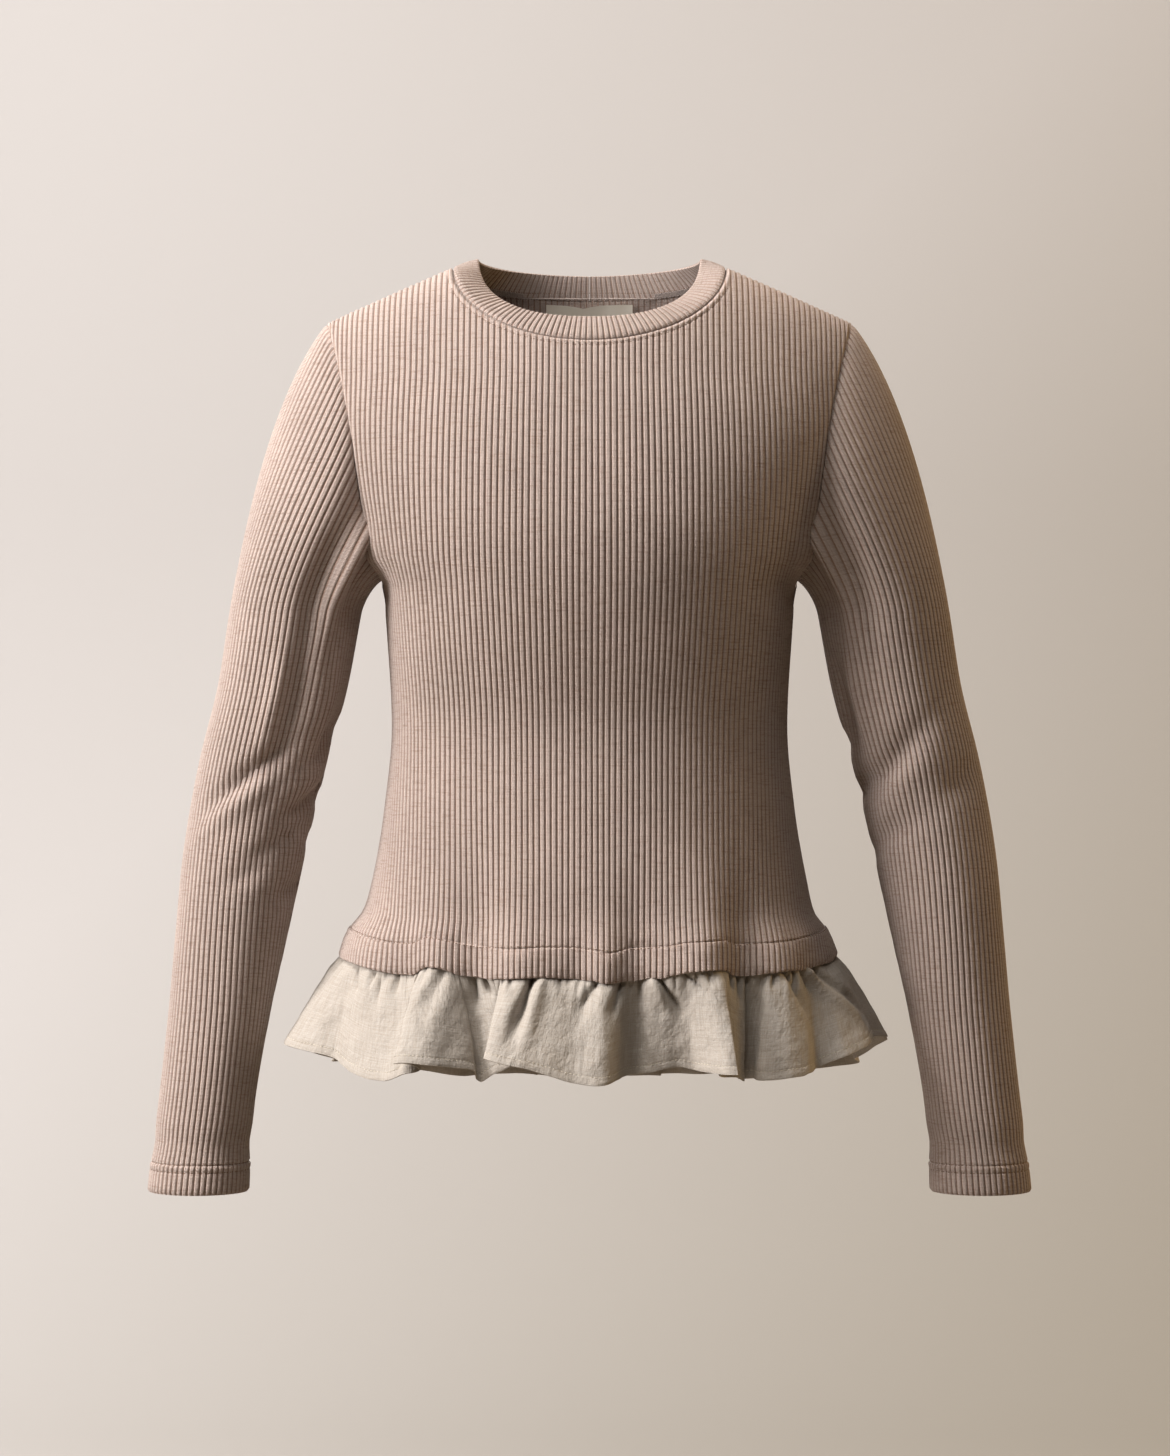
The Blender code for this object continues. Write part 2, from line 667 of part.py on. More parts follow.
def armhole_outline(side):
    """The armhole from the underarm to the shoulder tip: its corners, and the ribs between."""
    mirror = np.array((-1.0 if side == "front" else 1.0, 1.0, 1.0))
    corners = []
    for z, point, out in zip(ARMHOLE_NODES, ARM[side][0], ARM_OUT[side]):
        column, row = armhole_place(side, z)
        inward = panel_base(side, column - 1, row)[0] - panel_base(side, column, row)[0]
        base = point * mirror + unit(inward) * HALF_SEAM
        corners.append((inset(side, column, row), row, True, base, out * mirror))
    corners[-1] = (corners[-1][0], float(LAST_ROW), *corners[-1][2:])
    for end in (0, -1):
        corners[end][3][1] = HALF_SEAM * (-1 if side == "front" else 1)
    found = [corners[0]]
    for low, high in zip(corners, corners[1:]):
        start, stop = sorted((int(low[0]), int(high[0])))
        between = [float(c) for c in range(start + 1, stop + 1)]
        between.sort(reverse=high[0] < low[0])
        if high is corners[-1]:
            between = []
        for column in between:
            part = (column - low[0]) / (high[0] - low[0])
            if 0.3 < abs(column - low[0]) and 0.3 < abs(column - high[0]):
                mixed = [a + part * (b - a) for a, b in zip(low[3:], high[3:])]
                row = low[1] + part * (high[1] - low[1])
                found.append((column, row, column % 2 == 0, *mixed))
        found.append(high)
    return found


def top_outline(side, tip):
    """The shoulder seam from the tip to the neck, then the neckline to the middle."""
    way = -1.0 if side == "front" else 1.0
    mirror = np.array((-way, 1.0, 1.0))
    seam = BAND_LINES[side][0]
    share = np.linspace(0, 1, NECK_NODES + 1)
    corner = columns_at_x(side, on_polyline(seam, share)[:, 0])
    corner = np.minimum(corner, corner[-1] - 0.4 * np.arange(NECK_NODES, -1, -1))
    top_row = float(LAST_ROW)
    found = []
    for column in range(int(tip - 2.6), int(corner[-1] + 0.6), -1):
        base = on_row(side, float(column), top_row)[0]
        base[1] = way * HALF_SEAM
        out = unit(np.array((SHOULDER_SLOPE, 0.0, 1.0)) * mirror)
        keep = column % 2 == 0 and column > corner[-1] + 1.5
        found.append((float(column), top_row, keep, base, out))
    neck = [(c, s, True) for c, s in zip(corner, share)]
    seam_share = along(seam) / along(seam)[-1]
    for column in range(1, int(corner[-4])):
        if np.abs(corner - column).min() > 0.3:
            x = abs(on_row(side, float(column), top_row)[0][0])
            neck.append((float(column), float(np.interp(x, seam[:, 0], seam_share)), False))
    for column, part, keep in sorted(neck, reverse=True):
        point, away, out = neck_frame(side, part)
        base = point + away * HALF_SEAM
        if part == 1.0:
            base[1] = way * HALF_SEAM
        found.append((float(column), top_row, keep, base * mirror, out * mirror))
    return found


def columns_at_x(side, xs):
    """The columns whose tops lie at these distances from the middle."""
    columns = np.linspace(0, 100, 2001)
    tops = np.abs(body_point(side, columns / 2, top_z(side, columns / 2))[:, 0])
    return np.interp(xs, tops, columns)


def panel_outline(side):
    """Hem, side, armhole, shoulder and neck, and back down the other side."""
    half = []
    for row in map(float, range(LAST_LOWER + 1)):
        column = inset(side, edge_column(side, row), row)
        half.append(edge_point(side, column, row, True))
    half += armhole_outline(side)
    half += top_outline(side, half[-1][0])
    mirror = np.array((-1.0, 1.0, 1.0))
    other = [(-c, r, keep, base * mirror, out * mirror) for c, r, keep, base, out in half]
    reach = int(half[0][0] - 0.4)
    hem = [edge_point(side, float(c), 0.0, c % RIM == 0) for c in range(-reach, reach + 1)]
    points = [other[0]] + hem + half + other[-2:0:-1]
    return {
        "index": [p[:2] for p in points],
        "keep": [p[2] for p in points],
        "base": np.array([p[3] for p in points]),
        "out": np.array([p[4] for p in points]),
    }


def panel(side, material, parent):
    outline = panel_outline(side)
    limit = {float(r): edge_column(side, float(r)) for r in range(LAST_ROW)}
    rows = [float(r) for r in range(1, LAST_ROW)]

    def place(columns, rows_at):
        return panel_base(side, columns, rows_at)

    fine = lattice(1, rows, limit, 1.6, place)
    coarse = lattice(COARSE, rows, limit, 3.0, place)

    def wall(index):
        hem = np.interp(index[:, 1], (0.0, 0.9, 1.0), (HEM_EXTRA, HEM_EXTRA, 0.0))
        return KNIT_WALL + hem + RIB_RISE * rib_height(index[:, 0])

    return sheet(side, outline, fine, coarse, wall, material, parent)


# ---- neckband --------------------------------------------------------------------------------
def neck_seam(side, angle):
    """The seam between panel and band; angle 0 is the middle, a quarter turn the shoulder."""
    drop = FRONT_NECK_DROP if side == "front" else BACK_NECK_DROP
    x, z = NECK_HALF * np.sin(angle), -drop * np.cos(angle)
    way = -1.0 if side == "front" else 1.0
    return np.stack([x, way * depth_at(side, x, z), z], axis=-1)


def neck_edge(side, angle):
    """The band's open edge."""
    power = 2 / BAND_SQUARENESS
    drop = BAND_FRONT_DROP if side == "front" else BAND_BACK_DROP
    deep = -BAND_FRONT if side == "front" else BAND_BACK
    x = BAND_HALF_WIDTH * np.sin(angle) ** power
    lean = np.maximum(np.cos(angle), 0.0) ** power
    return np.stack([x, deep * lean, BAND_RISE - drop * lean], axis=-1)


def quarter_lines(side):
    angle = np.linspace(0, math.pi / 2, 400)
    return neck_seam(side, angle), neck_edge(side, angle)


BAND_LINES = {side: quarter_lines(side) for side in ("front", "back")}


def band_point(column, row):
    """The band's inner face: column 0 is the middle of the front, row 0 the seam."""
    column, row = np.broadcast_arrays(np.asarray(column, float), np.asarray(row, float))
    front_end = 2.0 * BAND_RIBS["front"]
    size = np.abs(column)
    result = np.zeros((*column.shape, 3))
    for side, share in (
        ("front", size / front_end),
        ("back", 1 - (size - front_end) / (2.0 * BAND_RIBS["back"])),
    ):
        here = size <= front_end if side == "front" else size > front_end
        seam, edge = BAND_LINES[side]
        low, high = on_polyline(seam, share), on_polyline(edge, share)
        point = low + row[..., None] * (high - low)
        result[here] = point[here]
    result[..., 0] *= np.where(column < 0, -1.0, 1.0)
    return result


def band_out(column, row):
    step = 0.3
    last = 2.0 * (BAND_RIBS["front"] + BAND_RIBS["back"])
    ahead, behind = np.clip(column + step, -last, last), np.clip(column - step, -last, last)
    return unit(
        np.cross(
            band_point(ahead, row) - band_point(behind, row),
            band_point(column, np.ones_like(row)) - band_point(column, np.zeros_like(row)),
        )
    )


def neck_frame(side, share):
    """A point of the neck seam at x > 0, the way from band to panel, and their way out."""
    seam, edge = BAND_LINES[side]
    point, top = on_polyline(seam, share), on_polyline(edge, share)
    tangent = unit(on_polyline(seam, share + 0.01) - on_polyline(seam, share - 0.01))
    away = unit(point - top)
    band = np.cross(tangent, away)
    band *= np.sign(band @ (point + np.array((0, 0, 90.0))))
    x, y, z = point
    facing, step = (-1.0 if side == "front" else 1.0), 0.02

    def depth(px, pz):
        return float(depth_at(side, np.array(px), np.array(pz)))

    across = depth(x + step, z) - depth(x - step, z)
    up = depth(x, z + step) - depth(x, z - step)
    body = unit(np.array((-across, facing * 2 * step, -up)))
    if share > 0.999:
        body = unit(np.array((SHOULDER_SLOPE, 0.0, 1.0)))
        band[1] = 0.0
    both = unit(body + unit(band))
    return point, away, both / max(0.75, float(both @ unit(band)))


def band_column(side, share):
    """The column of the band at this share of a quarter of the seam."""
    front_end = 2.0 * BAND_RIBS["front"]
    if side == "front":
        return share * front_end
    return front_end + (1 - share) * 2.0 * BAND_RIBS["back"]


def neckband(material, parent):
    last = 2.0 * (BAND_RIBS["front"] + BAND_RIBS["back"]) - 0.1
    columns = [float(c) for c in range(-int(last), int(last) + 1)]
    places = {}
    for side in ("front", "back"):
        for share in np.linspace(0, 1, NECK_NODES + 1):
            column = round(float(band_column(side, share)), 4)
            if column < last:
                places[column] = places[-column] = (side, float(share))
    clear = [c for c in columns if min(abs(c - s) for s in places) > 0.3]
    bottom = sorted({*clear, *places, -last, last})
    low_row = HALF_SEAM / 19.5
    points = [(c, low_row, c in places or abs(c) == last) for c in bottom]
    points += [(c, 1.0, c % RIM == 0 or abs(c) == last) for c in reversed([-last, *columns, last])]
    index = [(c, r) for c, r, _ in points]
    column, row = np.array(index).T
    base, out = band_point(column, row), band_out(column, row)
    for k, c in enumerate(bottom):
        side = "front" if abs(c) <= 2 * BAND_RIBS["front"] else "back"
        share = abs(c) / band_column("front", 1.0)
        if side == "back":
            share = 1 - (abs(c) - band_column("front", 1.0)) / (2.0 * BAND_RIBS["back"])
        out[k] = neck_frame(side, share)[2] * np.array((-1.0 if c < 0 else 1.0, 1.0, 1.0))
    outline = {"index": index, "base": base, "out": out, "keep": [k for _, _, k in points]}
    front, half_way = np.array([0.0]), np.array([0.5])
    middle = {
        "index": [(0.0, 0.5)],
        "base": band_point(front, half_way),
        "out": band_out(front, half_way),
    }

    def wall(at):
        return BAND_WALL + BAND_RIB_RISE * rib_height(at[:, 0])

    return sheet("neckband", outline, middle, middle, wall, material, parent)


# ---- sleeves ---------------------------------------------------------------------------------
def sleeve(name, at):
    return smooth(SLEEVE_COLUMNS, SLEEVE, name, at)


SLEEVE_LEVELS = np.linspace(-660.0, -200.0, 185)
SLEEVE_RINGS = ring_lookup(
    SLEEVE_LEVELS, sleeve("half_depth", SLEEVE_LEVELS), sleeve("half_width", SLEEVE_LEVELS), 2.0
)


def sleeve_quarter(z):
    return np.interp(z, SLEEVE_RINGS["levels"], SLEEVE_RINGS["length"])


def tube_point(turn, z):
    """The sleeve below the biceps, on the wearer's right. turn 0 is outermost, 0.5 the front."""
    turn, z = np.broadcast_arrays(np.asarray(turn, float), np.asarray(z, float))
    half = np.abs(turn) * 2
    share = np.where(half <= 1, half, 2 - half)
    across = look_up(SLEEVE_RINGS, "forward", share, z) * np.where(half <= 1, 1, -1)
    forward = look_up(SLEEVE_RINGS, "across", share, z) * np.where(turn < 0, -1, 1)
    x = -sleeve("middle_x", z) - sleeve("half_width", z) * across
    y = sleeve("middle_y", z) - sleeve("half_depth", z) * forward
    return np.stack([x, y, z], axis=-1)


LAST_TUBE = len(SLEEVE_ROWS) - 1
LAST_SLEEVE = LAST_TUBE + len(CAP_ROWS)
BICEPS_COLUMN = float(4 * sleeve_quarter(BICEPS_Z) / sleeve("rib", BICEPS_Z))


def cap_share(turn):
    """How far down the armhole a column of the cap ends, for its place round the biceps."""
    at = np.linspace(0, 1, 201)
    flat = 2 * float(sleeve_quarter(BICEPS_Z))
    steep = CAP_HEIGHT * math.pi / 2 * np.sin(math.pi * at)
    travelled = np.concatenate([[0], np.cumsum(np.hypot(flat, steep)[1:])])
    return np.interp(np.abs(turn), at, travelled / travelled[-1])


def armhole_point(share, front):
    """The armhole seam: share 0 is the shoulder tip, 1 the underarm."""
    a = on_polyline(ARM["front"][0][::-1], share)
    b = on_polyline(ARM["back"][0][::-1], share)
    return np.where(front[..., None], a, b)


def cap_point(turn, rise):
    """The sleeve cap: rise 0 is the biceps line, 1 the armhole seam."""
    front = turn >= 0
    share = cap_share(turn)
    low, high = tube_point(turn, np.full_like(turn, BICEPS_Z)), armhole_point(share, front)
    span = np.linalg.norm(high - low, axis=-1, keepdims=True) * CAP_PULL
    up = unit(low - tube_point(turn, np.full_like(turn, BICEPS_Z - 4)))
    arrive = -leaving(share, front)
    t = rise[..., None]
    return (
        (2 * t**3 - 3 * t**2 + 1) * low
        + (t**3 - 2 * t**2 + t) * up * span
        + (3 * t**2 - 2 * t**3) * high
        + (t**3 - t**2) * arrive * span
    )


def sleeve_plain(column, row):
    column, row = np.broadcast_arrays(np.asarray(column, float), np.asarray(row, float))
    z = np.interp(row, range(LAST_TUBE + 1), SLEEVE_ROWS)
    tube_turn = column / 4 * sleeve("rib", z) / sleeve_quarter(z)
    rise = np.interp(row - LAST_TUBE, range(len(CAP_ROWS) + 1), (0.0, *CAP_ROWS))
    low = tube_point(np.clip(tube_turn, -1, 1), z)
    high = cap_point(np.clip(column / BICEPS_COLUMN, -1, 1), rise)
    return np.where((row <= LAST_TUBE)[..., None], low, high), np.where(
        row <= LAST_TUBE, tube_turn, column / BICEPS_COLUMN
    )


def sleeve_base(hand, column, row):
    """The sleeve's inner face with its creases, on the wearer's right, and the way out of it."""
    column, row = np.asarray(column, float), np.asarray(row, float)
    step = 0.04
    low, high = np.clip(row - step, 0, LAST_SLEEVE), np.clip(row + step, 0, LAST_SLEEVE)
    edge = sleeve_edge(row)
    left, right = np.clip(column - step, -edge, edge), np.clip(column + step, -edge, edge)
    point, turn = sleeve_plain(column, row)
    out = unit(
        np.cross(
            sleeve_plain(right, row)[0] - sleeve_plain(left, row)[0],
            sleeve_plain(column, high)[0] - sleeve_plain(column, low)[0],
        )
    )
    push = bumps(CREASE_COLUMNS, CREASES[hand], turn, point[..., 2])
    return point + out * push[..., None], out


def sleeve_edge(row):
    """The column of the underarm seam."""
    z = np.interp(row, range(LAST_TUBE + 1), SLEEVE_ROWS)
    below = 4 * sleeve_quarter(z) / sleeve("rib", z)
    return np.where(np.asarray(row) <= LAST_TUBE, below, BICEPS_COLUMN)


def node_columns():
    """The columns at which the armhole's corners lie, and the way out at each."""
    turns = np.linspace(0, 1, 801)
    shares = cap_share(turns)
    found = []
    for side, way in (("front", 1.0), ("back", -1.0)):
        points = ARM[side][0]
        share = 1 - along(points) / along(points)[-1]
        column = way * np.interp(share, shares, turns) * BICEPS_COLUMN
        found += list(zip(column, ARM_OUT[side]))
    found.sort(key=lambda pair: pair[0])
    columns = np.array([c for c, _ in found])
    outs = np.array([o for _, o in found])
    first = np.concatenate([[True], np.diff(columns) > 1e-6])
    return columns[first], outs[first]


def make_sleeve(name, hand, material, parent):
    nodes, node_outs = node_columns()
    top_row = LAST_SLEEVE - 0.016
    inner_edge = {float(r): float(sleeve_edge(float(r))) - 0.09 for r in range(LAST_SLEEVE + 1)}
    cuff_edge, top_edge = inner_edge[0.0], inner_edge[float(LAST_SLEEVE)]
    nodes = np.clip(nodes, -top_edge, top_edge)
    cuff = [float(c) for c in range(-int(cuff_edge), int(cuff_edge) + 1)]
    top = [float(c) for c in range(-int(top_edge), int(top_edge) + 1)]
    top = [c for c in top if np.abs(nodes - c).min() > 0.3]
    crest = [(c, c % RIM == 0 and np.abs(nodes - c).min() > 1.5) for c in top]
    crest = sorted(crest + [(float(c), True) for c in nodes])
    points = [(-cuff_edge, 0.0, True)]
    points += [(c, 0.0, c % RIM == 0) for c in cuff if abs(c) < cuff_edge - 0.4]
    points += [(inner_edge[float(r)], float(r), True) for r in range(LAST_SLEEVE)]
    points += [(c, top_row, keep) for c, keep in reversed(crest)]
    points += [(-inner_edge[float(r)], float(r), True) for r in range(LAST_SLEEVE - 1, 0, -1)]
    index = [(c, r) for c, r, _ in points]
    columns, rows = np.array(index).T
    base, out = sleeve_base(hand, columns, rows)
    on_top = rows == top_row
    out[on_top] = np.stack(
        [np.interp(columns[on_top], nodes, node_outs[:, k]) for k in range(3)], axis=-1
    )
    outline = {"index": index, "base": base, "out": out, "keep": [k for _, _, k in points]}
    middle_rows = [float(r) for r in range(1, LAST_SLEEVE)]

    def place(c, r):
        return sleeve_base(hand, c, r)

    fine = lattice(1, middle_rows, inner_edge, 0.6, place)
    coarse = lattice(COARSE, middle_rows, inner_edge, 3.0, place)
    if hand > 0:
        for part in (outline, fine, coarse):
            part["base"] = part["base"] * np.array((-1, 1, 1))
            part["out"] = part["out"] * np.array((-1, 1, 1))

    def wall(at):
        hem = np.interp(at[:, 1], (0.0, 0.9, 1.0), (HEM_EXTRA, HEM_EXTRA, 0.0))
        pressed = np.where(at[:, 1] == top_row, 0.35, 1.0)  # along the armhole seam
        return KNIT_WALL + hem + RIB_RISE * rib_height(at[:, 0]) * pressed

    return sheet(name, outline, fine, coarse, wall, material, parent)


# ---- ruffle ----------------------------------------------------------------------------------
def hem_frame(side, place):
    """The hem's inner edge at this distance along it from the middle, and its way out."""
    last = 2 * HEM_RIBS[side]
    column = np.clip(2 * place / float(torso("rib", SIDE_HEM_Z)), -last, last)
    point, out = panel_base(side, column, np.zeros_like(column))
    level = out * np.array((1, 1, 0))
    return point, unit(level)


def ruffle_point(side, knot, down):
    """The ruffle's outer face: knot counts rows of the fold table, down is 0 at its top edge."""
    table = np.array(FOLDS[side])
    counts = np.arange(len(table), dtype=float)
    seam, edge, out, drop = (cubic(counts, table[:, k], knot) for k in range(4))
    fit = float(quarter(side, SIDE_HEM_Z)) / table[-1, 0]
    seam, edge = seam * fit, edge * fit
    place = seam + (edge - seam) * down**0.8
    point, way = hem_frame(side, place)
    side_share = np.abs(place) / float(quarter(side, SIDE_HEM_Z))
    middle, end = RUFFLE_FLARE["middle"], RUFFLE_FLARE["side"]
    flare = middle + (end - middle) * side_share**2
    stand = flare * down**1.1 + out * down**0.75 + RUFFLE_SET
    fall = (np.sqrt(np.maximum(RUFFLE_LENGTH**2 - flare**2, 0)) + drop) * down
    moved = point + way * stand[..., None]
    moved[..., 2] -= fall + RUFFLE_SEAM
    return moved


def ruffle(side, material, parent):
    knots = (len(FOLDS[side]) - 1) * RUFFLE_STEPS
    knot = np.linspace(0, len(FOLDS[side]) - 1, knots + 1)
    grid_knot, grid_down = np.meshgrid(knot, RUFFLE_ROWS)
    outer = ruffle_point(side, grid_knot, grid_down)
    across = np.gradient(outer, axis=1)
    down = -np.gradient(outer, axis=0)
    inner = outer - unit(np.cross(across, down)) * LINEN_WALL
    end = -HALF_SEAM if side == "front" else HALF_SEAM
    outer[:, [0, -1], 1] = inner[:, [0, -1], 1] = end
    tall, wide = grid_knot.shape
    points = np.vstack([outer.reshape(-1, 3), inner.reshape(-1, 3)])
    back = tall * wide
    faces = []
    for r in range(tall - 1):
        for c in range(wide - 1):
            a, b = r * wide + c, r * wide + c + 1
            d, e = a + wide, b + wide
            faces += [[a, d, e], [a, e, b]]
            faces += [[back + a, back + e, back + d], [back + a, back + b, back + e]]
    rim = [c for c in range(wide)]
    rim += [r * wide + wide - 1 for r in range(1, tall)]
    rim += [(tall - 1) * wide + c for c in range(wide - 2, -1, -1)]
    rim += [r * wide for r in range(tall - 2, 0, -1)]
    for k, a in enumerate(rim):
        b = rim[(k + 1) % len(rim)]
        faces += [[a, b, back + b], [a, back + b, back + a]]
    return add_solid("ruffle_" + side, points, faces, material, parent)


# ---- label -----------------------------------------------------------------------------------
def label(material, parent):
    """A plain woven label inside the back of the neck."""
    across = np.linspace(-LABEL_WIDTH / 2, LABEL_WIDTH / 2, 5)
    heights = np.linspace(LABEL_TOP_Z, LABEL_TOP_Z - LABEL_HEIGHT, 4)
    x, z = np.meshgrid(across, heights)
    y = depth_at("back", x, z) - LABEL_GAP
    outer = np.stack([x, y, z], axis=-1)
    inner = outer - np.array((0, LABEL_WALL, 0))
    tall, wide = x.shape
    points = np.vstack([outer.reshape(-1, 3), inner.reshape(-1, 3)])
    back = tall * wide
    faces = []
    for r in range(tall - 1):
        for c in range(wide - 1):
            a, b = r * wide + c, r * wide + c + 1
            d, e = a + wide, b + wide
            faces += [[a, b, e, d], [back + a, back + d, back + e, back + b]]
    rim = [c for c in range(wide)]
    rim += [r * wide + wide - 1 for r in range(1, tall)]
    rim += [(tall - 1) * wide + c for c in range(wide - 2, -1, -1)]
    rim += [r * wide for r in range(tall - 2, 0, -1)]
    for k, a in enumerate(rim):
        b = rim[(k + 1) % len(rim)]
        faces.append([a, back + a, back + b, b])
    return add_solid("label", points, faces, material, parent)


# ---- the garment -----------------------------------------------------------------------------
def make_material(name):
    colour, roughness, metallic = MATERIALS[name]
    material = bpy.data.materials.new(name)
    material.use_nodes = True
    shader = material.node_tree.nodes["Principled BSDF"]
    shader.inputs["Base Color"].default_value = colour
    shader.inputs["Roughness"].default_value = roughness
    shader.inputs["Metallic"].default_value = metallic
    return material


def main():
    for old in list(bpy.data.objects):
        bpy.data.objects.remove(old, do_unlink=True)
    garment = bpy.data.objects.new("garment", None)
    bpy.context.scene.collection.objects.link(garment)
    knit, linen, cotton = (make_material(name) for name in MATERIALS)
    panel("front", knit, garment)
    panel("back", knit, garment)
    make_sleeve("sleeve_right", -1, knit, garment)
    make_sleeve("sleeve_left", 1, knit, garment)
    neckband(knit, garment)
    ruffle("front", linen, garment)
    ruffle("back", linen, garment)
    label(cotton, garment)


main()
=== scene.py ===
import math

import bmesh
import bpy
import numpy as np
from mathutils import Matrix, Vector, kdtree


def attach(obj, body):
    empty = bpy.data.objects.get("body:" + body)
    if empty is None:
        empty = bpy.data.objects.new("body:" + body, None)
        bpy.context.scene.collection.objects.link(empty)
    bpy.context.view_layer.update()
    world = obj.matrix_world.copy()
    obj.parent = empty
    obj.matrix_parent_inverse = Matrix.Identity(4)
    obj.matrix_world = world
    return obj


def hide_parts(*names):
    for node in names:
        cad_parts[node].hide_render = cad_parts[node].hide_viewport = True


# A rib-knit top with a gathered linen ruffle, filled out as it is when it is worn.
# Tables are in millimetres. Columns count half ribs, so even ones are crests.

mm = 0.001
sides = ("front", "back")
facing = {"front": 1.0, "back": -1.0}
mirror = np.array((-1.0, 1.0, 1.0))
farAway = 1e3  # further from a seam than it is felt
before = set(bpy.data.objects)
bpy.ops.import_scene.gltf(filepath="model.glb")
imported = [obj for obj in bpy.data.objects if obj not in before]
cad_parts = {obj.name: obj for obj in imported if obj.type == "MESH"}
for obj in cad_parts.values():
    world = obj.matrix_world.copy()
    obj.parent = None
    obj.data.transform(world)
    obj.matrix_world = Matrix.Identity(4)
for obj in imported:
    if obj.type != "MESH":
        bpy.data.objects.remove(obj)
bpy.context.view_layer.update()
print("frame loaded:", len(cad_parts), "cut pieces")


def together(*parts):
    return np.stack(parts, axis=-1)


def cubic(t, low, lowSlope, high, highSlope):
    # from low to high, with the slopes given at its ends
    start = (2 * t**3 - 3 * t**2 + 1) * low + (t**3 - 2 * t**2 + t) * lowSlope
    return start + (3 * t**2 - 2 * t**3) * high + (t**3 - t**2) * highSlope


def smoothRead(xs, ys, at):
    xs, ys = np.asarray(xs, float), np.asarray(ys, float)
    step = np.diff(xs)
    slope = np.diff(ys) / step
    # a smooth line through the rows that never swings past them
    sameWay = slope[:-1] * slope[1:] > 0
    weightA, weightB = 2 * step[1:] + step[:-1], step[1:] + 2 * step[:-1]
    safeA, safeB = np.where(sameWay, slope[:-1], 1.0), np.where(sameWay, slope[1:], 1.0)
    tangent = np.zeros_like(ys)
    tangent[1:-1] = np.where(sameWay, (weightA + weightB) / (weightA / safeA + weightB / safeB), 0)
    tangent[0], tangent[-1] = slope[0], slope[-1]
    at = np.clip(np.asarray(at, float), xs[0], xs[-1])
    k = np.clip(np.searchsorted(xs, at, side="right") - 1, 0, len(xs) - 2)
    t = (at - xs[k]) / step[k]
    return cubic(t, ys[k], step[k] * tangent[k], ys[k + 1], step[k] * tangent[k + 1])


def readTable(table, name, at):
    rows = np.array(table["rows"])
    return smoothRead(rows[:, 0], rows[:, table["columns"].index(name)], at)


def unit(vectors):
    return vectors / np.maximum(np.linalg.norm(vectors, axis=-1, keepdims=True), 1e-9)


def travelled(points):
    return np.concatenate([[0.0], np.cumsum(np.linalg.norm(np.diff(points, axis=0), axis=1))])


def alongLine(points, share):
    length = travelled(points)
    at = np.clip(share, 0, 1) * length[-1]
    return np.stack([np.interp(at, length, points[:, k]) for k in range(3)], axis=-1)


def ramp(low, high, at):
    t = np.clip((at - low) / (high - low), 0, 1)
    return t * t * (3 - 2 * t)


def bump(at, middle, width):
    return np.exp(-(((at - middle) / width) ** 2))


def addObject(name, data):
    thing = bpy.data.objects.new(name, data)
    bpy.context.scene.collection.objects.link(thing)
    return thing


# rings of the torso and the sleeves, read by the share of their length
ringSteps = 241


def measureRings(levels, wide, deep, exponent):
    turn, shares = np.linspace(0.0, math.pi / 2, ringSteps), np.linspace(0.0, 1.0, ringSteps)
    across, forward = np.sin(turn) ** (2 / exponent), np.cos(turn) ** (2 / exponent)
    found = {"levels": levels, "length": [], "across": [], "forward": []}
    for halfWidth, halfDepth in zip(wide, deep):
        length = travelled(together(halfWidth * across, halfDepth * forward))
        found["length"].append(length[-1])
        found["across"].append(np.interp(shares, length / length[-1], across))
        found["forward"].append(np.interp(shares, length / length[-1], forward))
    return {key: np.array(value) for key, value in found.items()}


def readRings(rings, name, share, level):
    levels, table = rings["levels"], rings[name]
    a = (np.clip(level, levels[0], levels[-1]) - levels[0]) / (levels[1] - levels[0])
    b = np.clip(share, 0, 1) * (table.shape[1] - 1)
    i = np.clip(a.astype(int), 0, table.shape[0] - 2)
    j = np.clip(b.astype(int), 0, table.shape[1] - 2)
    a, b = a - i, b - j
    low = table[i, j] * (1 - b) + table[i, j + 1] * b
    return low * (1 - a) + (table[i + 1, j] * (1 - b) + table[i + 1, j + 1] * b) * a


torso = {
    "columns": ("z", "halfWidth", "front", "back", "rib"),
    "rows": (
        (-520, 182.0, 121.0, 124, 3.90),
        (-471, 168.5, 114.0, 115, 3.90),
        (-457, 163.5, 110.5, 111, 3.90),
        (-442, 153.0, 106.0, 107, 3.88),
        (-420, 147.5, 102.0, 102, 3.88),
        (-371, 139.2, 94.0, 91, 3.90),
        (-314, 134.2, 88.0, 79, 3.92),
        (-257, 137.0, 97.0, 83, 4.08),
        (-212, 142.5, 104.0, 90, 4.20),
        (-205, 148.5, 104.5, 91, 4.21),
        (-187, 156.0, 105.0, 93, 4.22),
        (-147, 173.0, 101.0, 95, 4.20),
        (-106, 188.0, 94.0, 93, 4.15),
        (-70, 193.0, 87.0, 88, 4.10),
        (-38, 194.0, 82.0, 82, 4.10),
        (30, 194.0, 76.0, 74, 4.10),
    ),
    "squareness": 2.3,
    "neckHalf": 93.5,
    "neckDrop": {"front": 55.0, "back": 13.5},
    "shoulderSlope": 0.46,
    "shoulderSoftness": 40.0,
    "roll": 2.5,
    "rollHeight": {"front": 170.0, "back": 120.0},
    "underarmZ": -212.0,
    "sideHemZ": -471.0,
    "hemDip": {"front": 11.0, "back": 15.0},
    "joinZ": -226.0,
    "topSoftening": 14.0,
    "hemDepth": 20.0,
    "hemReach": 0.25,  # how far up the panel the hem's wander is felt
    "wanderFit": 0.97,
    "detailSpan": 253.0,  # height over which the rows below the arms are laid out
    "rowSpacing": 5.8,
    "upperRows": 50,
    "uvRib": 4.1,
    "feel": (0.05, 0.012),  # how far apart, in columns and rows, the way out is measured
}
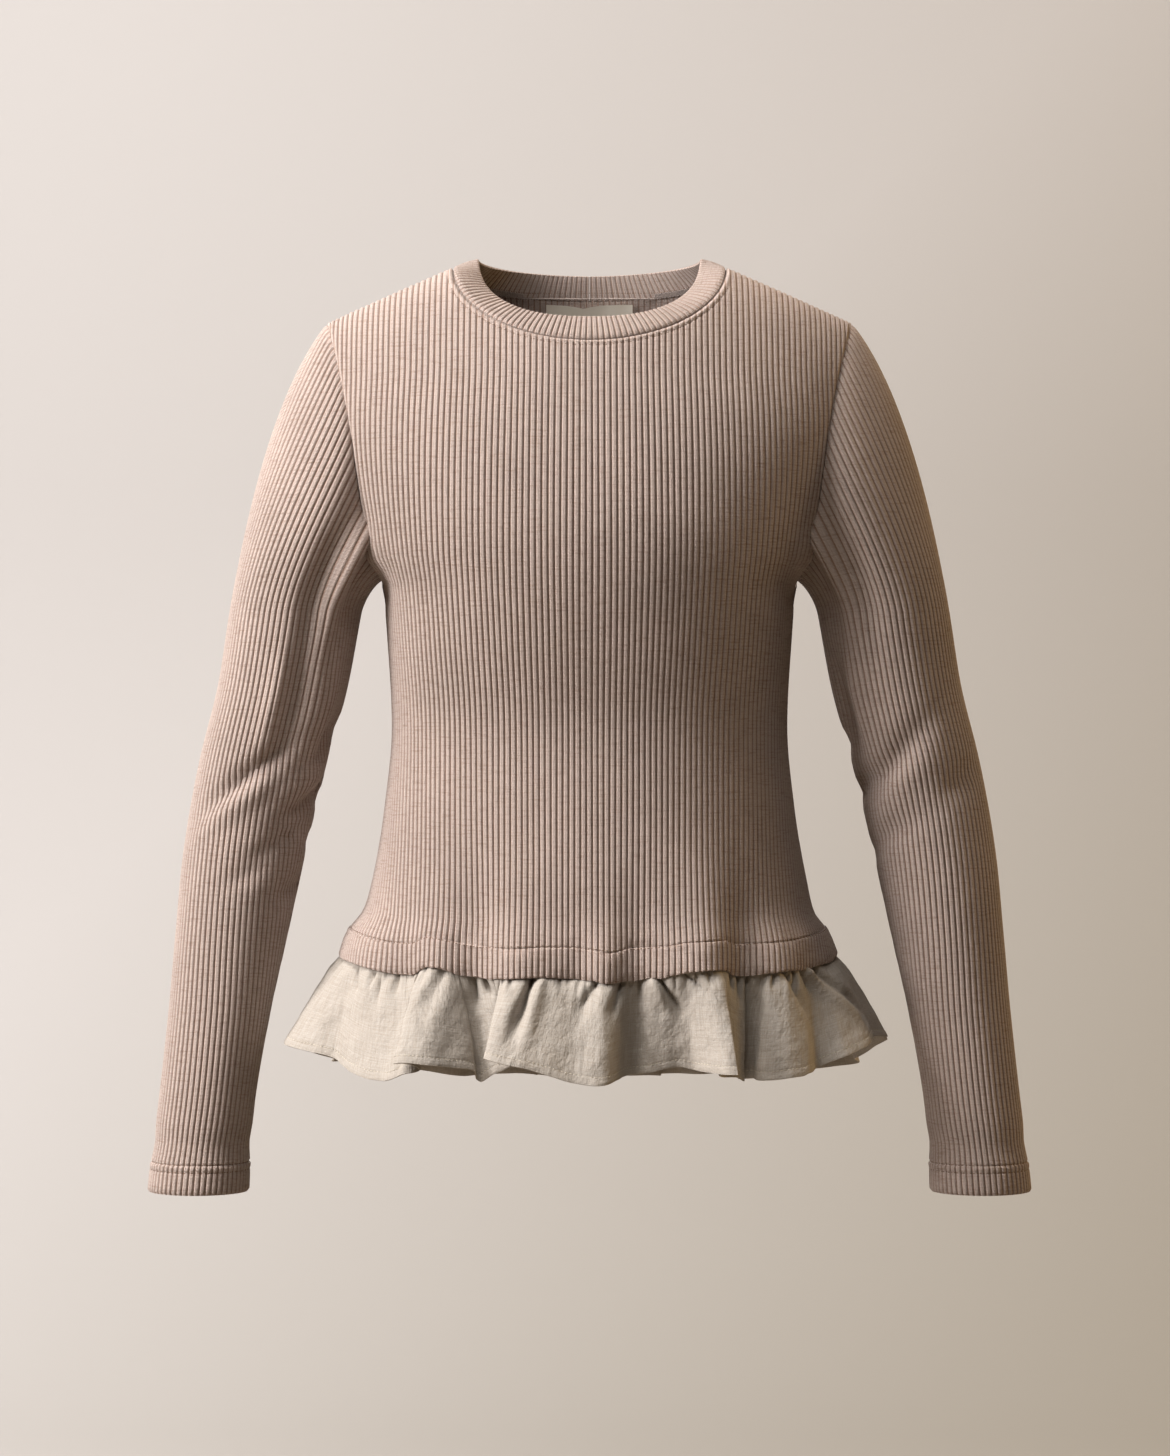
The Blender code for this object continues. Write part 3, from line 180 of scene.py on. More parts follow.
armhole = {
    "columns": ("z", "x"),
    "rows": (
        (-212, 142.5), (-205, 145.0), (-187, 150.5), (-147, 157.0), (-106, 163.5), (-70, 171.0),
        (-38, 180.0),
    ),
}
# how each hem's edge wanders: x and rise
hemWander = {
    "front": (
        (-170, 0), (-139, -1.9), (-121, -1.2), (-105, 4.4), (-86, 1.7), (-53, -0.9), (-30, 0.8),
        (-12, 0.9), (0, -0.4), (12, -2.8), (27, 0.2), (47, 0.8), (63, 2.9), (88, 3.4), (97, 0.2),
        (130, -0.8), (170, 0),
    ),
    "back": (
        (-170, 0), (-120, 2.2), (-80, -1.8), (-35, 2), (10, -1.6), (55, 1.8), (105, -1.6), (170, 0),
    ),
}
waves = {  # x, z, across, up, push and, where it leans, its rise
    "front": (
        (-150, -478, 20, 34, 3.5), (-122, -478, 14, 30, -4), (-104, -480, 14, 38, 4),
        (-77, -480, 13, 58, -6.5), (-48, -482, 16, 48, 4.5), (-8, -484, 12, 36, -3),
        (10, -482, 10, 32, 2), (32, -482, 15, 50, -6), (76, -480, 18, 58, 6.5),
        (101, -480, 12, 46, -6.5), (128, -480, 14, 36, 3), (148, -478, 12, 30, -2.5),
        (-148, -196, 9, 13, 4), (-147, -222, 11, 8, -3.5), (148, -196, 9, 13, 4),
        (147, -222, 11, 8, -3.5),
    ),
    "back": (
        (-140, -480, 20, 36, 4.5), (-105, -482, 16, 42, -4), (-62, -484, 20, 50, 4),
        (-22, -484, 16, 52, -4), (18, -484, 18, 44, 4.5), (62, -482, 18, 48, -4),
        (104, -482, 18, 42, 4), (142, -480, 16, 34, -3.5), (0, -330, 70, 22, -3),
        (0, -285, 80, 20, 2.5),
    ),
}
ringLevels = np.linspace(-520.0, 30.0, 221)
torsoWide = readTable(torso, "halfWidth", ringLevels)
torsoRings = {
    side: measureRings(ringLevels, torsoWide, readTable(torso, side, ringLevels), torso["squareness"])
    for side in sides
}


def shoulderZ(x):
    reach = math.hypot(torso["neckHalf"], torso["shoulderSoftness"])
    return torso["shoulderSlope"] * (reach - np.hypot(x, torso["shoulderSoftness"]))


def neckZ(side, x):
    return -torso["neckDrop"][side] * np.sqrt(np.maximum(0, 1 - (x / torso["neckHalf"]) ** 2))


def shoulderRoll(side, x, z):
    below = np.clip((shoulderZ(x) - z) / torso["rollHeight"][side], 0, 1)
    return (1 - (1 - below) ** torso["roll"]) ** (1 / torso["roll"])


def depthAt(side, x, z):
    share = np.clip(np.abs(x) / readTable(torso, "halfWidth", z), 0, 1)
    straight = (1 - share ** torso["squareness"]) ** (1 / torso["squareness"])
    return readTable(torso, side, z) * straight * shoulderRoll(side, x, z)


def quarterLength(side, z):
    return np.interp(z, torsoRings[side]["levels"], torsoRings[side]["length"])


def bodyPoint(side, rib, z):
    rib, z = np.broadcast_arrays(np.asarray(rib, float), np.asarray(z, float))
    share = np.abs(rib) * readTable(torso, "rib", z) / quarterLength(side, z)
    across = readRings(torsoRings[side], "across", share, z) * readTable(torso, "halfWidth", z)
    deep = readRings(torsoRings[side], "forward", share, z) * readTable(torso, side, z)
    deep = deep * shoulderRoll(side, across, z)
    return together(facing[side] * np.sign(rib) * across, -facing[side] * deep, z)


def findTops(side):
    ribs = np.linspace(0, 60, 1201)
    z = np.zeros_like(ribs)
    for _ in range(40):
        x = np.abs(bodyPoint(side, ribs, z)[..., 0])
        goal = np.where(x < torso["neckHalf"], neckZ(side, x), shoulderZ(x))
        z = z + 0.6 * (goal - z)
    return ribs, z


tops = {side: findTops(side) for side in sides}
hemRib = float(readTable(torso, "rib", torso["sideHemZ"]))
hemQuarter = {side: float(quarterLength(side, torso["sideHemZ"])) for side in sides}


def rowHeight(side, rib, v):
    # v runs 0 to 1 from the hem to a level ring under the arm, and on to 2 at the top edge
    rib, v = np.broadcast_arrays(np.asarray(rib, float), np.asarray(v, float))
    x = facing[side] * rib * hemRib
    share = np.clip(np.abs(x) / hemQuarter[side], 0, 1)
    hem = torso["sideHemZ"] - torso["hemDip"][side] * (1 - share**2)
    wander = smoothRead(*np.array(hemWander[side]).T, x * torso["wanderFit"])
    hem = hem + wander * np.clip(1 - v / torso["hemReach"], 0, 1)
    rise = np.clip(v - 1, 0, 1)
    # below the top edge its line is evened out over the ribs beside it
    soften = torso["topSoftening"] * (1 - rise) * (rise < 0.96)
    near = [np.interp(np.abs(rib + soften * k), *tops[side]) for k in np.linspace(-1, 1, 9)]
    top = np.mean(near, axis=0)
    low = hem + np.clip(v, 0, 1) * (torso["joinZ"] - hem)
    return np.where(v <= 1, low, torso["joinZ"] + rise * (top - torso["joinZ"]))


def sumOf(table, across, up):
    total = np.zeros(np.broadcast(across, up).shape)
    for place, height, wide, tall, push, *lean in table:
        # a lean lets the crease climb as it runs across
        level = height + (across - place) * (lean[0] if lean else 0.0)
        total += push * np.exp(-(((across - place) / wide) ** 2) - ((up - level) / tall) ** 2)
    return total


def foldedFace(plain, column, v, table, feel, edge=np.inf):
    # a sheet's inner face with its folds, and the way out of it
    step, slip = feel
    left, right = np.clip(column - step, -edge, edge), np.clip(column + step, -edge, edge)
    low, high = np.clip(v - slip, 0, 2), np.clip(v + slip, 0, 2)
    across = plain(right, v)[0] - plain(left, v)[0]
    out = unit(np.cross(across, plain(column, high)[0] - plain(column, low)[0]))
    point, place = plain(column, v)
    return point + out * sumOf(table, place, point[..., 2])[..., None], out


def panelBase(side, column, v):
    def plain(column, v):
        point = bodyPoint(side, column / 2, rowHeight(side, column / 2, v))
        return point, point[..., 0]

    return foldedFace(plain, column, v, waves[side], torso["feel"])


def halve(inside, low, high, times):
    # the last place between low and high that is inside
    for _ in range(times):
        middle = (low + high) / 2
        here = inside(middle)
        low, high = np.where(here, middle, low), np.where(here, high, middle)
    return low


def panelEdge(side, v):
    # the column at which each row meets the side seam or the armhole
    def inside(column):
        z = rowHeight(side, column / 2, v)
        beside = column / 2 * readTable(torso, "rib", z) < quarterLength(side, z)
        x = np.abs(bodyPoint(side, column / 2, z)[..., 0])
        return np.where(z < torso["underarmZ"], beside, x < readTable(armhole, "x", z))

    return halve(inside, np.full(v.shape, 20.0), np.full(v.shape, 150.0), 32)


# seam lines, as rows of points for measuring how far a place is from them
def armholeLine(side):
    z = np.linspace(torso["underarmZ"], armhole["rows"][-1][0], 420)
    x = readTable(armhole, "x", z)
    return together(-x, -facing[side] * depthAt(side, x, z), z)


def neckSeam(side, angle):
    x = torso["neckHalf"] * np.sin(angle)
    z = -torso["neckDrop"][side] * np.cos(angle)
    return together(x, -facing[side] * depthAt(side, x, z), z)


def distanceTo(line, points):
    tree = kdtree.KDTree(len(line))
    for k, place in enumerate(line):
        tree.insert(place, k)
    tree.balance()
    return np.array([tree.find(p)[2] for p in points.reshape(-1, 3)]).reshape(points.shape[:-1])


seamAngle = np.linspace(-math.pi / 2, math.pi / 2, 900)
knit = {
    "wall": 1.0,
    "ribRise": 1.15,
    "ribRound": 0.62,
    "samplesPerRib": 6,
    "hemExtra": 0.75,
    "stitchPull": 1.0,
    "beside": {"side": 0.35, "arm": 0.75, "shoulder": 0.75},  # how far a seam sinks
    "besideReach": (3.2, 2.6),  # how far from it the ribs flatten and the wall sinks
    "neckRibs": (0.35, 1.5, 5.0),  # share left at the neck seam, and the reach of its rise
    "neckRoll": (0.75, 2.0, 1.3),  # height, place and width of the roll below the neck seam
    "neckStitch": 4.1,  # needle row below the neck seam
    "neckPull": 0.55,
    "neckEdge": 1.3,
    "needleWidth": 0.6,
    "needleFlat": (0.45, 0.7),  # how much and how far a needle row flattens the ribs
    "hemStep": (-0.6, 1.8),  # where the doubled cloth ends, from the needle row
    "edgeSink": 0.9,
    "edgeRound": 1.6,
    "sway": (0.10, 37, 0.31),  # ribs don't run quite straight: how far, how often and rib by rib
    "pucker": (0.45, 9.0, 8.0),  # the turned hem's puckers: depth, height and reach
    "puckerWave": (5.3, 17, 1.3),
    "edgeRipple": (0.7, 5.0),
    "rippleWave": (2.6, 9.0, 1.5),
}


def unevenWave(x, length, bend, amount):
    # a wave whose spacing wanders
    return np.sin(x / length + amount * np.sin(x / bend))


def ribShape(column):
    # round crests and narrow furrows: column 0 is a crest, 1 a furrow
    away = np.abs((column + 1) % 2 - 1)
    return np.cos(np.minimum(away, 1.0) * math.pi / 2) ** knit["ribRound"]


def rowColumns(edge, step):
    count = int((edge - 0.12) / step)
    return np.concatenate([[-edge], np.arange(-count, count + 1) * step, [edge]])


def zipRows(lower, upper, startLower, startUpper):
    # faces between two rows whose columns differ in number
    faces, i, j = [], 0, 0
    while i < len(lower) - 1 or j < len(upper) - 1:
        nextLower = lower[i + 1] if i < len(lower) - 1 else 1e9
        nextUpper = upper[j + 1] if j < len(upper) - 1 else 1e9
        a, b = startLower + i, startUpper + j
        bothLast = i == len(lower) - 2 and j == len(upper) - 2
        if bothLast or abs(nextLower - nextUpper) < 1e-6:
            faces.append((a, a + 1, b + 1, b))
            i, j = i + 1, j + 1
        elif nextLower < nextUpper:
            faces.append((a, a + 1, b))
            i += 1
        else:
            faces.append((a, b + 1, b))
            j += 1
    return faces


def makeSheet(name, key, rows, edges, outerAt, baseAt, mapAt, turned=1.0):
    # a closed knit wall: a fine outer face, a plainer inner one, and the edges between them
    outerRows = [rowColumns(e, 2 / knit["samplesPerRib"]) for e in edges]
    innerRows = [rowColumns(e, 1.0) for e in edges]
    counts = [len(row) for row in outerRows + innerRows]
    starts = np.cumsum([0] + counts).tolist()
    columns, vs = np.concatenate(outerRows + innerRows), np.repeat(np.tile(rows, 2), counts)
    split = starts[len(rows)]
    outer, inner = outerAt(key, columns[:split], vs[:split]), baseAt(key, columns[split:], vs[split:])
    points = np.vstack([outer, inner[0]]) * turned
    faces, last = [], len(rows) - 1
    for k in range(last):
        faces += zipRows(outerRows[k], outerRows[k + 1], starts[k], starts[k + 1])
        a, b = starts[len(rows) + k], starts[len(rows) + k + 1]
        faces += [face[::-1] for face in zipRows(innerRows[k], innerRows[k + 1], a, b)]
        endA, endB = starts[k] + len(outerRows[k]) - 1, starts[k + 1] + len(outerRows[k + 1]) - 1
        backA, backB = a + len(innerRows[k]) - 1, b + len(innerRows[k + 1]) - 1
        faces.append((endA, backA, backB, endB))
        faces.append((starts[k], starts[k + 1], b, a))
    low = zipRows(innerRows[0], outerRows[0], starts[len(rows)], starts[0])
    high = zipRows(innerRows[last], outerRows[last], starts[len(rows) + last], starts[last])
    faces += low + [face[::-1] for face in high]
    return makePiece(name, points, faces, mapAt(key, columns, vs), ribKnit)


def makeWall(name, outer, inner, uv, material):
    # a closed wall from two grids of points, joined round their rim
    tall, wide = outer.shape[:2]
    behind = tall * wide
    faces = []
    for r in range(tall - 1):
        for a in range(r * wide, r * wide + wide - 1):
            b, c, d = a + 1, a + wide + 1, a + wide
            faces += [(a, d, c, b), (behind + a, behind + b, behind + c, behind + d)]
    grid = np.arange(behind).reshape(tall, wide)
    rim = np.concatenate([grid[0], grid[1:, -1], grid[-1, -2::-1], grid[-2:0:-1, 0]]).tolist()
    for a, b in zip(rim, rim[1:] + rim[:1]):
        faces.append((a, b, behind + b, behind + a))
    points = np.vstack([outer.reshape(-1, 3), inner.reshape(-1, 3)])
    uv = uv.reshape(-1, 2)
    return makePiece(name, points, faces, np.vstack([uv, uv]), material)


def makePiece(name, points, faces, uv, material):
    mesh = bpy.data.meshes.new(name)
    mesh.from_pydata((points * mm).tolist(), [], faces)
    form = bmesh.new()
    form.from_mesh(mesh)
    if form.calc_volume(signed=True) < 0:
        bmesh.ops.reverse_faces(form, faces=form.faces)
    form.to_mesh(mesh)
    form.free()
    corners = np.zeros(len(mesh.loops), np.int32)
    mesh.loops.foreach_get("vertex_index", corners)
    layer = mesh.uv_layers.new(name="cloth")
    layer.data.foreach_set("uv", np.asarray(uv, np.float32)[corners].ravel())
    mesh.shade_smooth()
    mesh.set_sharp_from_angle(angle=math.radians(50))
    mesh.materials.append(material)
    return addObject(name, mesh)


def sheetRows(length, spacing, details, above, power):
    # rows from 0 to 1, closer round each detail (place, half width, how many), and more to 2
    rows = set(np.linspace(0, length, int(length / spacing) + 1))
    for place, halfWidth, count in details:
        rows = {r for r in rows if abs(r - place) > halfWidth + 0.3 * spacing}
        rows |= set(np.linspace(place - halfWidth, place + halfWidth, count))
    lower = np.array(sorted(r for r in rows if 0 <= r <= length)) / length
    return np.concatenate([lower, 2 - (1 - np.arange(1, above + 1) / above) ** power])


class Nodes:
    # short calls for building a node tree
    def __init__(self, tree):
        self.tree = tree

    def wire(self, value, slot):
        if isinstance(value, bpy.types.NodeSocket):
            self.tree.links.new(value, slot)
        else:
            slot.default_value = value

    def add(self, kind, inputs=(), **settings):
        node = self.tree.nodes.new(kind)
        for key, value in settings.items():
            setattr(node, key, value)
        for slot, value in dict(inputs).items():
            self.wire(value, node.inputs[slot])
        return node

    def math(self, operation, a, b=0.0, c=0.0):
        return self.add("ShaderNodeMath", {0: a, 1: b, 2: c}, operation=operation).outputs[0]

    def times(self, a, b):
        return self.math("MULTIPLY", a, b)

    def noise(self, vector, scale, detail=3.0, rough=0.55):
        vector = self.add("ShaderNodeMapping", {"Vector": vector, "Scale": scale}).outputs[0]
        inputs = {"Vector": vector, "Scale": 1.0, "Detail": detail, "Roughness": rough}
        return self.add("ShaderNodeTexNoise", inputs).outputs["Fac"]

    def spread(self, value, low, high, toLow=0.0, toHigh=1.0):
        inputs = {"Value": value, 1: low, 2: high, 3: toLow, 4: toHigh}
        return self.add("ShaderNodeMapRange", inputs).outputs[0]

    def wave(self, value):
        return self.math("MULTIPLY_ADD", self.math("SINE", value), 0.5, 0.5)

    def mix(self, factor, a, b, blend="MIX"):
        inputs = {0: factor, 6: a, 7: b}
        return self.add("ShaderNodeMix", inputs, data_type="RGBA", blend_type=blend).outputs[2]

    def relief(self, height, strength, distance, **more):
        inputs = {"Height": height, "Strength": strength, "Distance": distance, **more}
        return self.add("ShaderNodeBump", inputs).outputs[0]

    def cloth(self):
        # the cloth's own map, and its two directions
        uv = self.add("ShaderNodeUVMap", uv_map="cloth").outputs[0]
        return uv, *self.add("ShaderNodeSeparateXYZ", {0: uv}).outputs[:2]


def newMaterial(name, roughness, sheen=0.0, sheenTint=(1, 1, 1, 1)):
    material = bpy.data.materials.new(name)
    material.use_nodes = True
    shader = material.node_tree.nodes["Principled BSDF"]
    shader.inputs["Roughness"].default_value = roughness
    shader.inputs["Specular IOR Level"].default_value = 0.25
    shader.inputs["Sheen Weight"].default_value = sheen
    shader.inputs["Sheen Roughness"].default_value = 0.55
    shader.inputs["Sheen Tint"].default_value = sheenTint
    return material, shader, Nodes(material.node_tree)


knitFinish = {
    "crest": (0.545, 0.465, 0.433, 1),
    # the furrow colour is partly the reverse stitches' own darker yarn and partly painted shade in the
    # rib valleys
    "furrow": (0.180, 0.097, 0.058, 1),
    "flecks": (0.285, 0.205, 0.168, 1),
    "courses": 4.4,  # knitted rows in one rib's width
    "roughness": 0.92,
    "sheen": (0.16, (1, 0.86, 0.78, 1)),
    "amount": {"streak": 0.60, "fuzz": 0.34, "loop": 0.42, "spine": 0.34, "furrow": 0.76},
    "grain": {"streak": (0.30, 3.4, 1), "patch": (0.05, 0.06, 1), "fuzz": (6.0, 6.0, 1)},
    "relief": (0.9, 0.0007),
}


def makeKnit():
    # UV x counts ribs and UV y runs along them in the same unit
    material, shader, n = newMaterial("ribKnit", knitFinish["roughness"], *knitFinish["sheen"])
    crest, dark, flecks = (knitFinish[key] for key in ("crest", "furrow", "flecks"))
    amount, grain = knitFinish["amount"], knitFinish["grain"]
    uv, across, along = n.cloth()
    away = n.times(n.math("PINGPONG", across, 0.5), 2.0)
    # where the rib valleys lie: the mask for their painted shade over the reverse stitches' darker yarn
    furrow = n.spread(away, 0.60, 0.97)
    # the two legs of each stitch lean towards the rib's middle
    course = n.math("ADD", n.times(along, knitFinish["courses"]), n.times(away, 0.55))
    loop = n.wave(n.times(course, 2 * math.pi))
    legs = n.spread(n.math("ABSOLUTE", n.math("SUBTRACT", away, 0.42)), 0.0, 0.42, 1.0, 0.0)
    streak = n.spread(n.noise(uv, grain["streak"], 4.0, 0.6), 0.50, 0.68)
    patch = n.noise(uv, grain["patch"])
    fuzz = n.noise(uv, grain["fuzz"], 2.0, 0.7)
    colour = n.mix(n.times(streak, amount["streak"]), crest, flecks)
    colour = n.mix(n.spread(fuzz, 0.35, 0.65, 0.0, amount["fuzz"]), colour, flecks)
    colour = n.mix(n.times(n.spread(loop, 0.0, 0.5, 1.0, 0.0), amount["loop"]), colour, dark)
    spine = n.times(n.spread(away, 0.02, 0.13, 1.0, 0.0), n.spread(loop, 0.2, 0.8))
    colour = n.mix(n.times(spine, amount["spine"]), colour, dark)
    # painted shade in the rib valleys, laid with the reverse stitches' own darker yarn colour
    colour = n.mix(n.times(furrow, amount["furrow"]), colour, dark)
    shade = n.spread(patch, 0.3, 0.7, 0.93, 1.06)
    shade = n.add("ShaderNodeCombineXYZ", {0: shade, 1: shade, 2: shade}).outputs[0]
    n.wire(n.mix(1.0, colour, shade, "MULTIPLY"), shader.inputs["Base Color"])
    height = n.times(loop, n.math("ADD", n.times(legs, 0.7), 0.3))
    height = n.math("ADD", height, n.times(fuzz, 0.35))
    n.wire(n.relief(height, *knitFinish["relief"]), shader.inputs["Normal"])
    return material


linenFinish = {
    "light": (0.420, 0.393, 0.362, 1),
    "dark": (0.205, 0.162, 0.118, 1),
    "threads": 1.45,  # in a millimetre
    "roughness": 0.88,
    "sheen": (0.08, (1, 0.97, 0.9, 1)),
    "amount": {"crossed": 0.34, "yarn": 0.22, "weave": 0.22},
    "slub": (0.045, 1.1, 1),
    "yarn": (1.3, 1.3, 1),
    "wrinkles": (0.10, 0.07, 1),
    "wideRelief": (0.55, 0.0045),
    "relief": (0.45, 0.0002),
}


def makeLinen():
    # UV is in millimetres: x runs round the ruffle, y down it
    material, shader, n = newMaterial("linenWeave", linenFinish["roughness"], *linenFinish["sheen"])
    light, dark, amount = (linenFinish[key] for key in ("light", "dark", "amount"))
    uv, across, down = n.cloth()
    turn = 2 * math.pi * linenFinish["threads"]
    warp, weft = (n.math("SINE", n.times(way, turn)) for way in (across, down))
    weave = n.math("MULTIPLY_ADD", n.times(warp, weft), 0.5, 0.5)
    fine, coarse, flat = linenFinish["slub"]
    slubAcross = n.spread(n.noise(uv, (fine, coarse, flat), 4.0, 0.6), 0.35, 0.72)
    slubDown = n.spread(n.noise(uv, (coarse, fine, flat), 4.0, 0.6), 0.38, 0.75)
    yarn = n.noise(uv, linenFinish["yarn"], 2.0, 0.6)
    crossed = n.math("ADD", slubAcross, slubDown)
    colour = n.mix(n.times(crossed, amount["crossed"]), light, dark)
    colour = n.mix(n.spread(yarn, 0.35, 0.7, 0.0, amount["yarn"]), colour, dark)
    colour = n.mix(n.times(n.spread(weave, 0.0, 0.5, 1.0, 0.0), amount["weave"]), colour, dark)
    n.wire(colour, shader.inputs["Base Color"])
    wide = n.relief(n.noise(uv, linenFinish["wrinkles"], 4.0, 0.6), *linenFinish["wideRelief"])
    height = n.math("ADD", n.times(weave, 0.5), n.times(crossed, 0.8))
    n.wire(n.relief(height, *linenFinish["relief"], Normal=wide), shader.inputs["Normal"])
    return material


def makeThread(name, colour):
    material, shader, n = newMaterial(name, 0.8, 0.1)
    place = n.add("ShaderNodeTexCoord").outputs["Object"]
    mottle = n.spread(n.noise(place, (900.0,) * 3, 2.0), 0.35, 0.7, 0.0, 0.6)
    dark = tuple(0.6 * c for c in colour)
    n.wire(n.mix(mottle, (*colour, 1), (*dark, 1)), shader.inputs["Base Color"])
    return material


tape = {"light": (0.84, 0.79, 0.70, 1), "dark": (0.72, 0.66, 0.56, 1), "twill": (0.58, 0.52, 0.42, 1)}


def makeTape():
    # a blank woven label: fine close weave, a little uneven
    material, shader, n = newMaterial("labelTape", 0.8, 0.1)
    uv, across, down = n.cloth()
    twill = n.math("ADD", n.times(across, 9.0), down)
    lines = n.wave(n.times(twill, 1.9))
    age = n.spread(n.noise(uv, (0.08, 0.08, 1)), 0.3, 0.7, 0.0, 0.35)
    colour = n.mix(n.times(lines, 0.10), n.mix(age, tape["light"], tape["dark"]), tape["twill"])
    n.wire(colour, shader.inputs["Base Color"])
    n.wire(n.relief(lines, 0.35, 0.00012), shader.inputs["Normal"])
    return material


ribKnit, linenWeave, labelTape = makeKnit(), makeLinen(), makeTape()
knitThread = makeThread("knitThread", (0.44, 0.37, 0.34))
darkThread = makeThread("darkThread", (0.20, 0.125, 0.085))
linenThread = makeThread("linenThread", (0.60, 0.54, 0.44))
print("materials made")


def wallOver(column, distances, above, hemDepth, thick=1.0):
    # thickness at a place, from how far it is from each seam and above the turned hem's edge
    rise = np.full_like(column, knit["ribRise"])
    wall = np.full_like(column, knit["wall"])
    for kind, away in distances.items():
        if kind == "neck":
            left, start, end = knit["neckRibs"]
            rise *= left + (1 - left) * ramp(start, end, away)
            push, place, wide = knit["neckRoll"]
            wall += push * bump(away, place, wide)
            wall -= knit["neckPull"] * bump(away, knit["neckStitch"], knit["needleWidth"])
            wall -= knit["edgeSink"] * (1 - ramp(0.0, knit["neckEdge"], away))
        else:
            sunk, reach = knit["beside"][kind], knit["besideReach"]
            rise *= 1 - sunk * (1 - ramp(0.0, reach[0], away))
            wall -= sunk * (1 - ramp(0.0, reach[1], away))
    low, high = knit["hemStep"]
    wall += knit["hemExtra"] * thick * (1 - ramp(hemDepth + low, hemDepth + high, above))
    wall -= knit["stitchPull"] * (0.4 + 0.6 * thick) * bump(above, hemDepth, knit["needleWidth"])
    flat, reach = knit["needleFlat"]
    rise *= 1 - flat * bump(above, hemDepth, reach)
    wall -= knit["edgeSink"] * (1 - ramp(0.0, knit["edgeRound"], above))
    return wall + rise * ribShape(column)


def panelOuter(side, column, v):
    base, out = panelBase(side, column, v)
    x, z = base[..., 0], base[..., 2]
    edge = np.interp(v, panelRows[side], panelEdges[side])
    beside = (edge - np.abs(column)) * readTable(torso, "rib", z) / 2
    top = bodyPoint(side, column / 2, rowHeight(side, column / 2, np.full_like(v, 2.0)))
    onShoulder = (v > 1.7) & (np.abs(top[..., 0]) > torso["neckHalf"])
    arm = armholeLine(side)
    distances = {
        "neck": distanceTo(neckSeam(side, seamAngle), base),
        "arm": np.where(v > 0.95, distanceTo(np.vstack([arm, arm * mirror]), base), farAway),
        "side": np.where(v < 1.06, beside, farAway),
        "shoulder": np.where(onShoulder, np.linalg.norm(base - top, axis=-1), farAway),
    }
    above = z - rowHeight(side, column / 2, np.zeros_like(v))
    wall = wallOver(column, distances, above, torso["hemDepth"])
    depth, height, reach = knit["pucker"]
    pucker = depth * unevenWave(x, *knit["puckerWave"]) * np.sin(x / 23 + 1.0)
    moved = base + out * (wall + pucker * bump(above, height, reach))[..., None]
    far, often, perRib = knit["sway"]
    moved[..., 0] += far * np.sin(z / often + column * perRib) * ramp(0.0, 12.0, above)
    depth, reach = knit["edgeRipple"]
    ripple = unevenWave(x, *knit["rippleWave"]) * (0.5 + 0.5 * np.sin(x / 19.0))
    moved[..., 2] += depth * ripple * bump(above, 0.0, reach)
    return moved


panelRows, panelEdges = {}, {}


def panelMap(side, column, v):
    return together(column / 2, rowHeight(side, column / 2, v) / torso["uvRib"])


def makePanel(side):
    details = ((0.7, 0.7, 4), (torso["hemDepth"], 1.8, 7))
    rows = sheetRows(torso["detailSpan"], torso["rowSpacing"], details, torso["upperRows"], 2.3)
    panelRows[side], panelEdges[side] = rows, panelEdge(side, rows)
    edges = panelEdges[side] - 0.03
    return makeSheet("knit_" + side, side, rows, edges, panelOuter, panelBase, panelMap)


front, back = makePanel("front"), makePanel("back")
print("front and back made:", len(front.data.polygons), "faces each")


sleeve = {
    "columns": ("z", "middleX", "halfWidth", "middleY", "halfDepth", "rib"),
    "rows": (
        (-660, 268.5, 33.0, -32, 34.0, 3.80),
        (-631, 267.0, 32.4, -30, 33.5, 3.80),
        (-608, 265.5, 31.6, -28, 33.0, 3.75),
        (-571, 261.8, 30.8, -25, 32.0, 3.70),
        (-514, 254.3, 32.6, -18, 34.0, 3.75),
        (-457, 246.0, 36.4, -11, 37.5, 3.80),
        (-400, 237.5, 40.0, -4, 41.0, 3.90),
        (-340, 225.5, 42.0, 2, 44.0, 3.95),
        (-285, 211.5, 42.7, 3, 47.0, 4.00),
        (-236, 203.0, 43.4, 2, 49.0, 4.10),
        (-200, 196.0, 44.0, 1, 50.0, 4.10),
    ),
    "cuffZ": -631.0,
    "bicepsZ": -236.0,
    "capHeight": 125.0,
    "capPull": 0.85,
    "needleRows": (15.0, 20.0),
    # push, height over the cuff's edge and reach: upper needle row, puff, and drawn in above
    "swells": ((-0.55, 15.0, 0.6), (0.35, 17.5, 1.6), (-1.3, 33.0, 9.0)),
    "rowSpacing": 5.6,
    "capRows": 28,
    "uvRib": 4.0,
    "feel": (0.04, 0.008),
    # the ways the cloth leaves the armhole: at its top, underarm, and where it hangs between
    "crownWay": (-0.62, 0.0, -0.78),
    "underarmWay": (-0.99, 0.0, -0.12),
    "hangWay": (-0.26, 0.30, -0.90),
    "hangShare": 0.92,
    "spreadOut": 0.34,
}
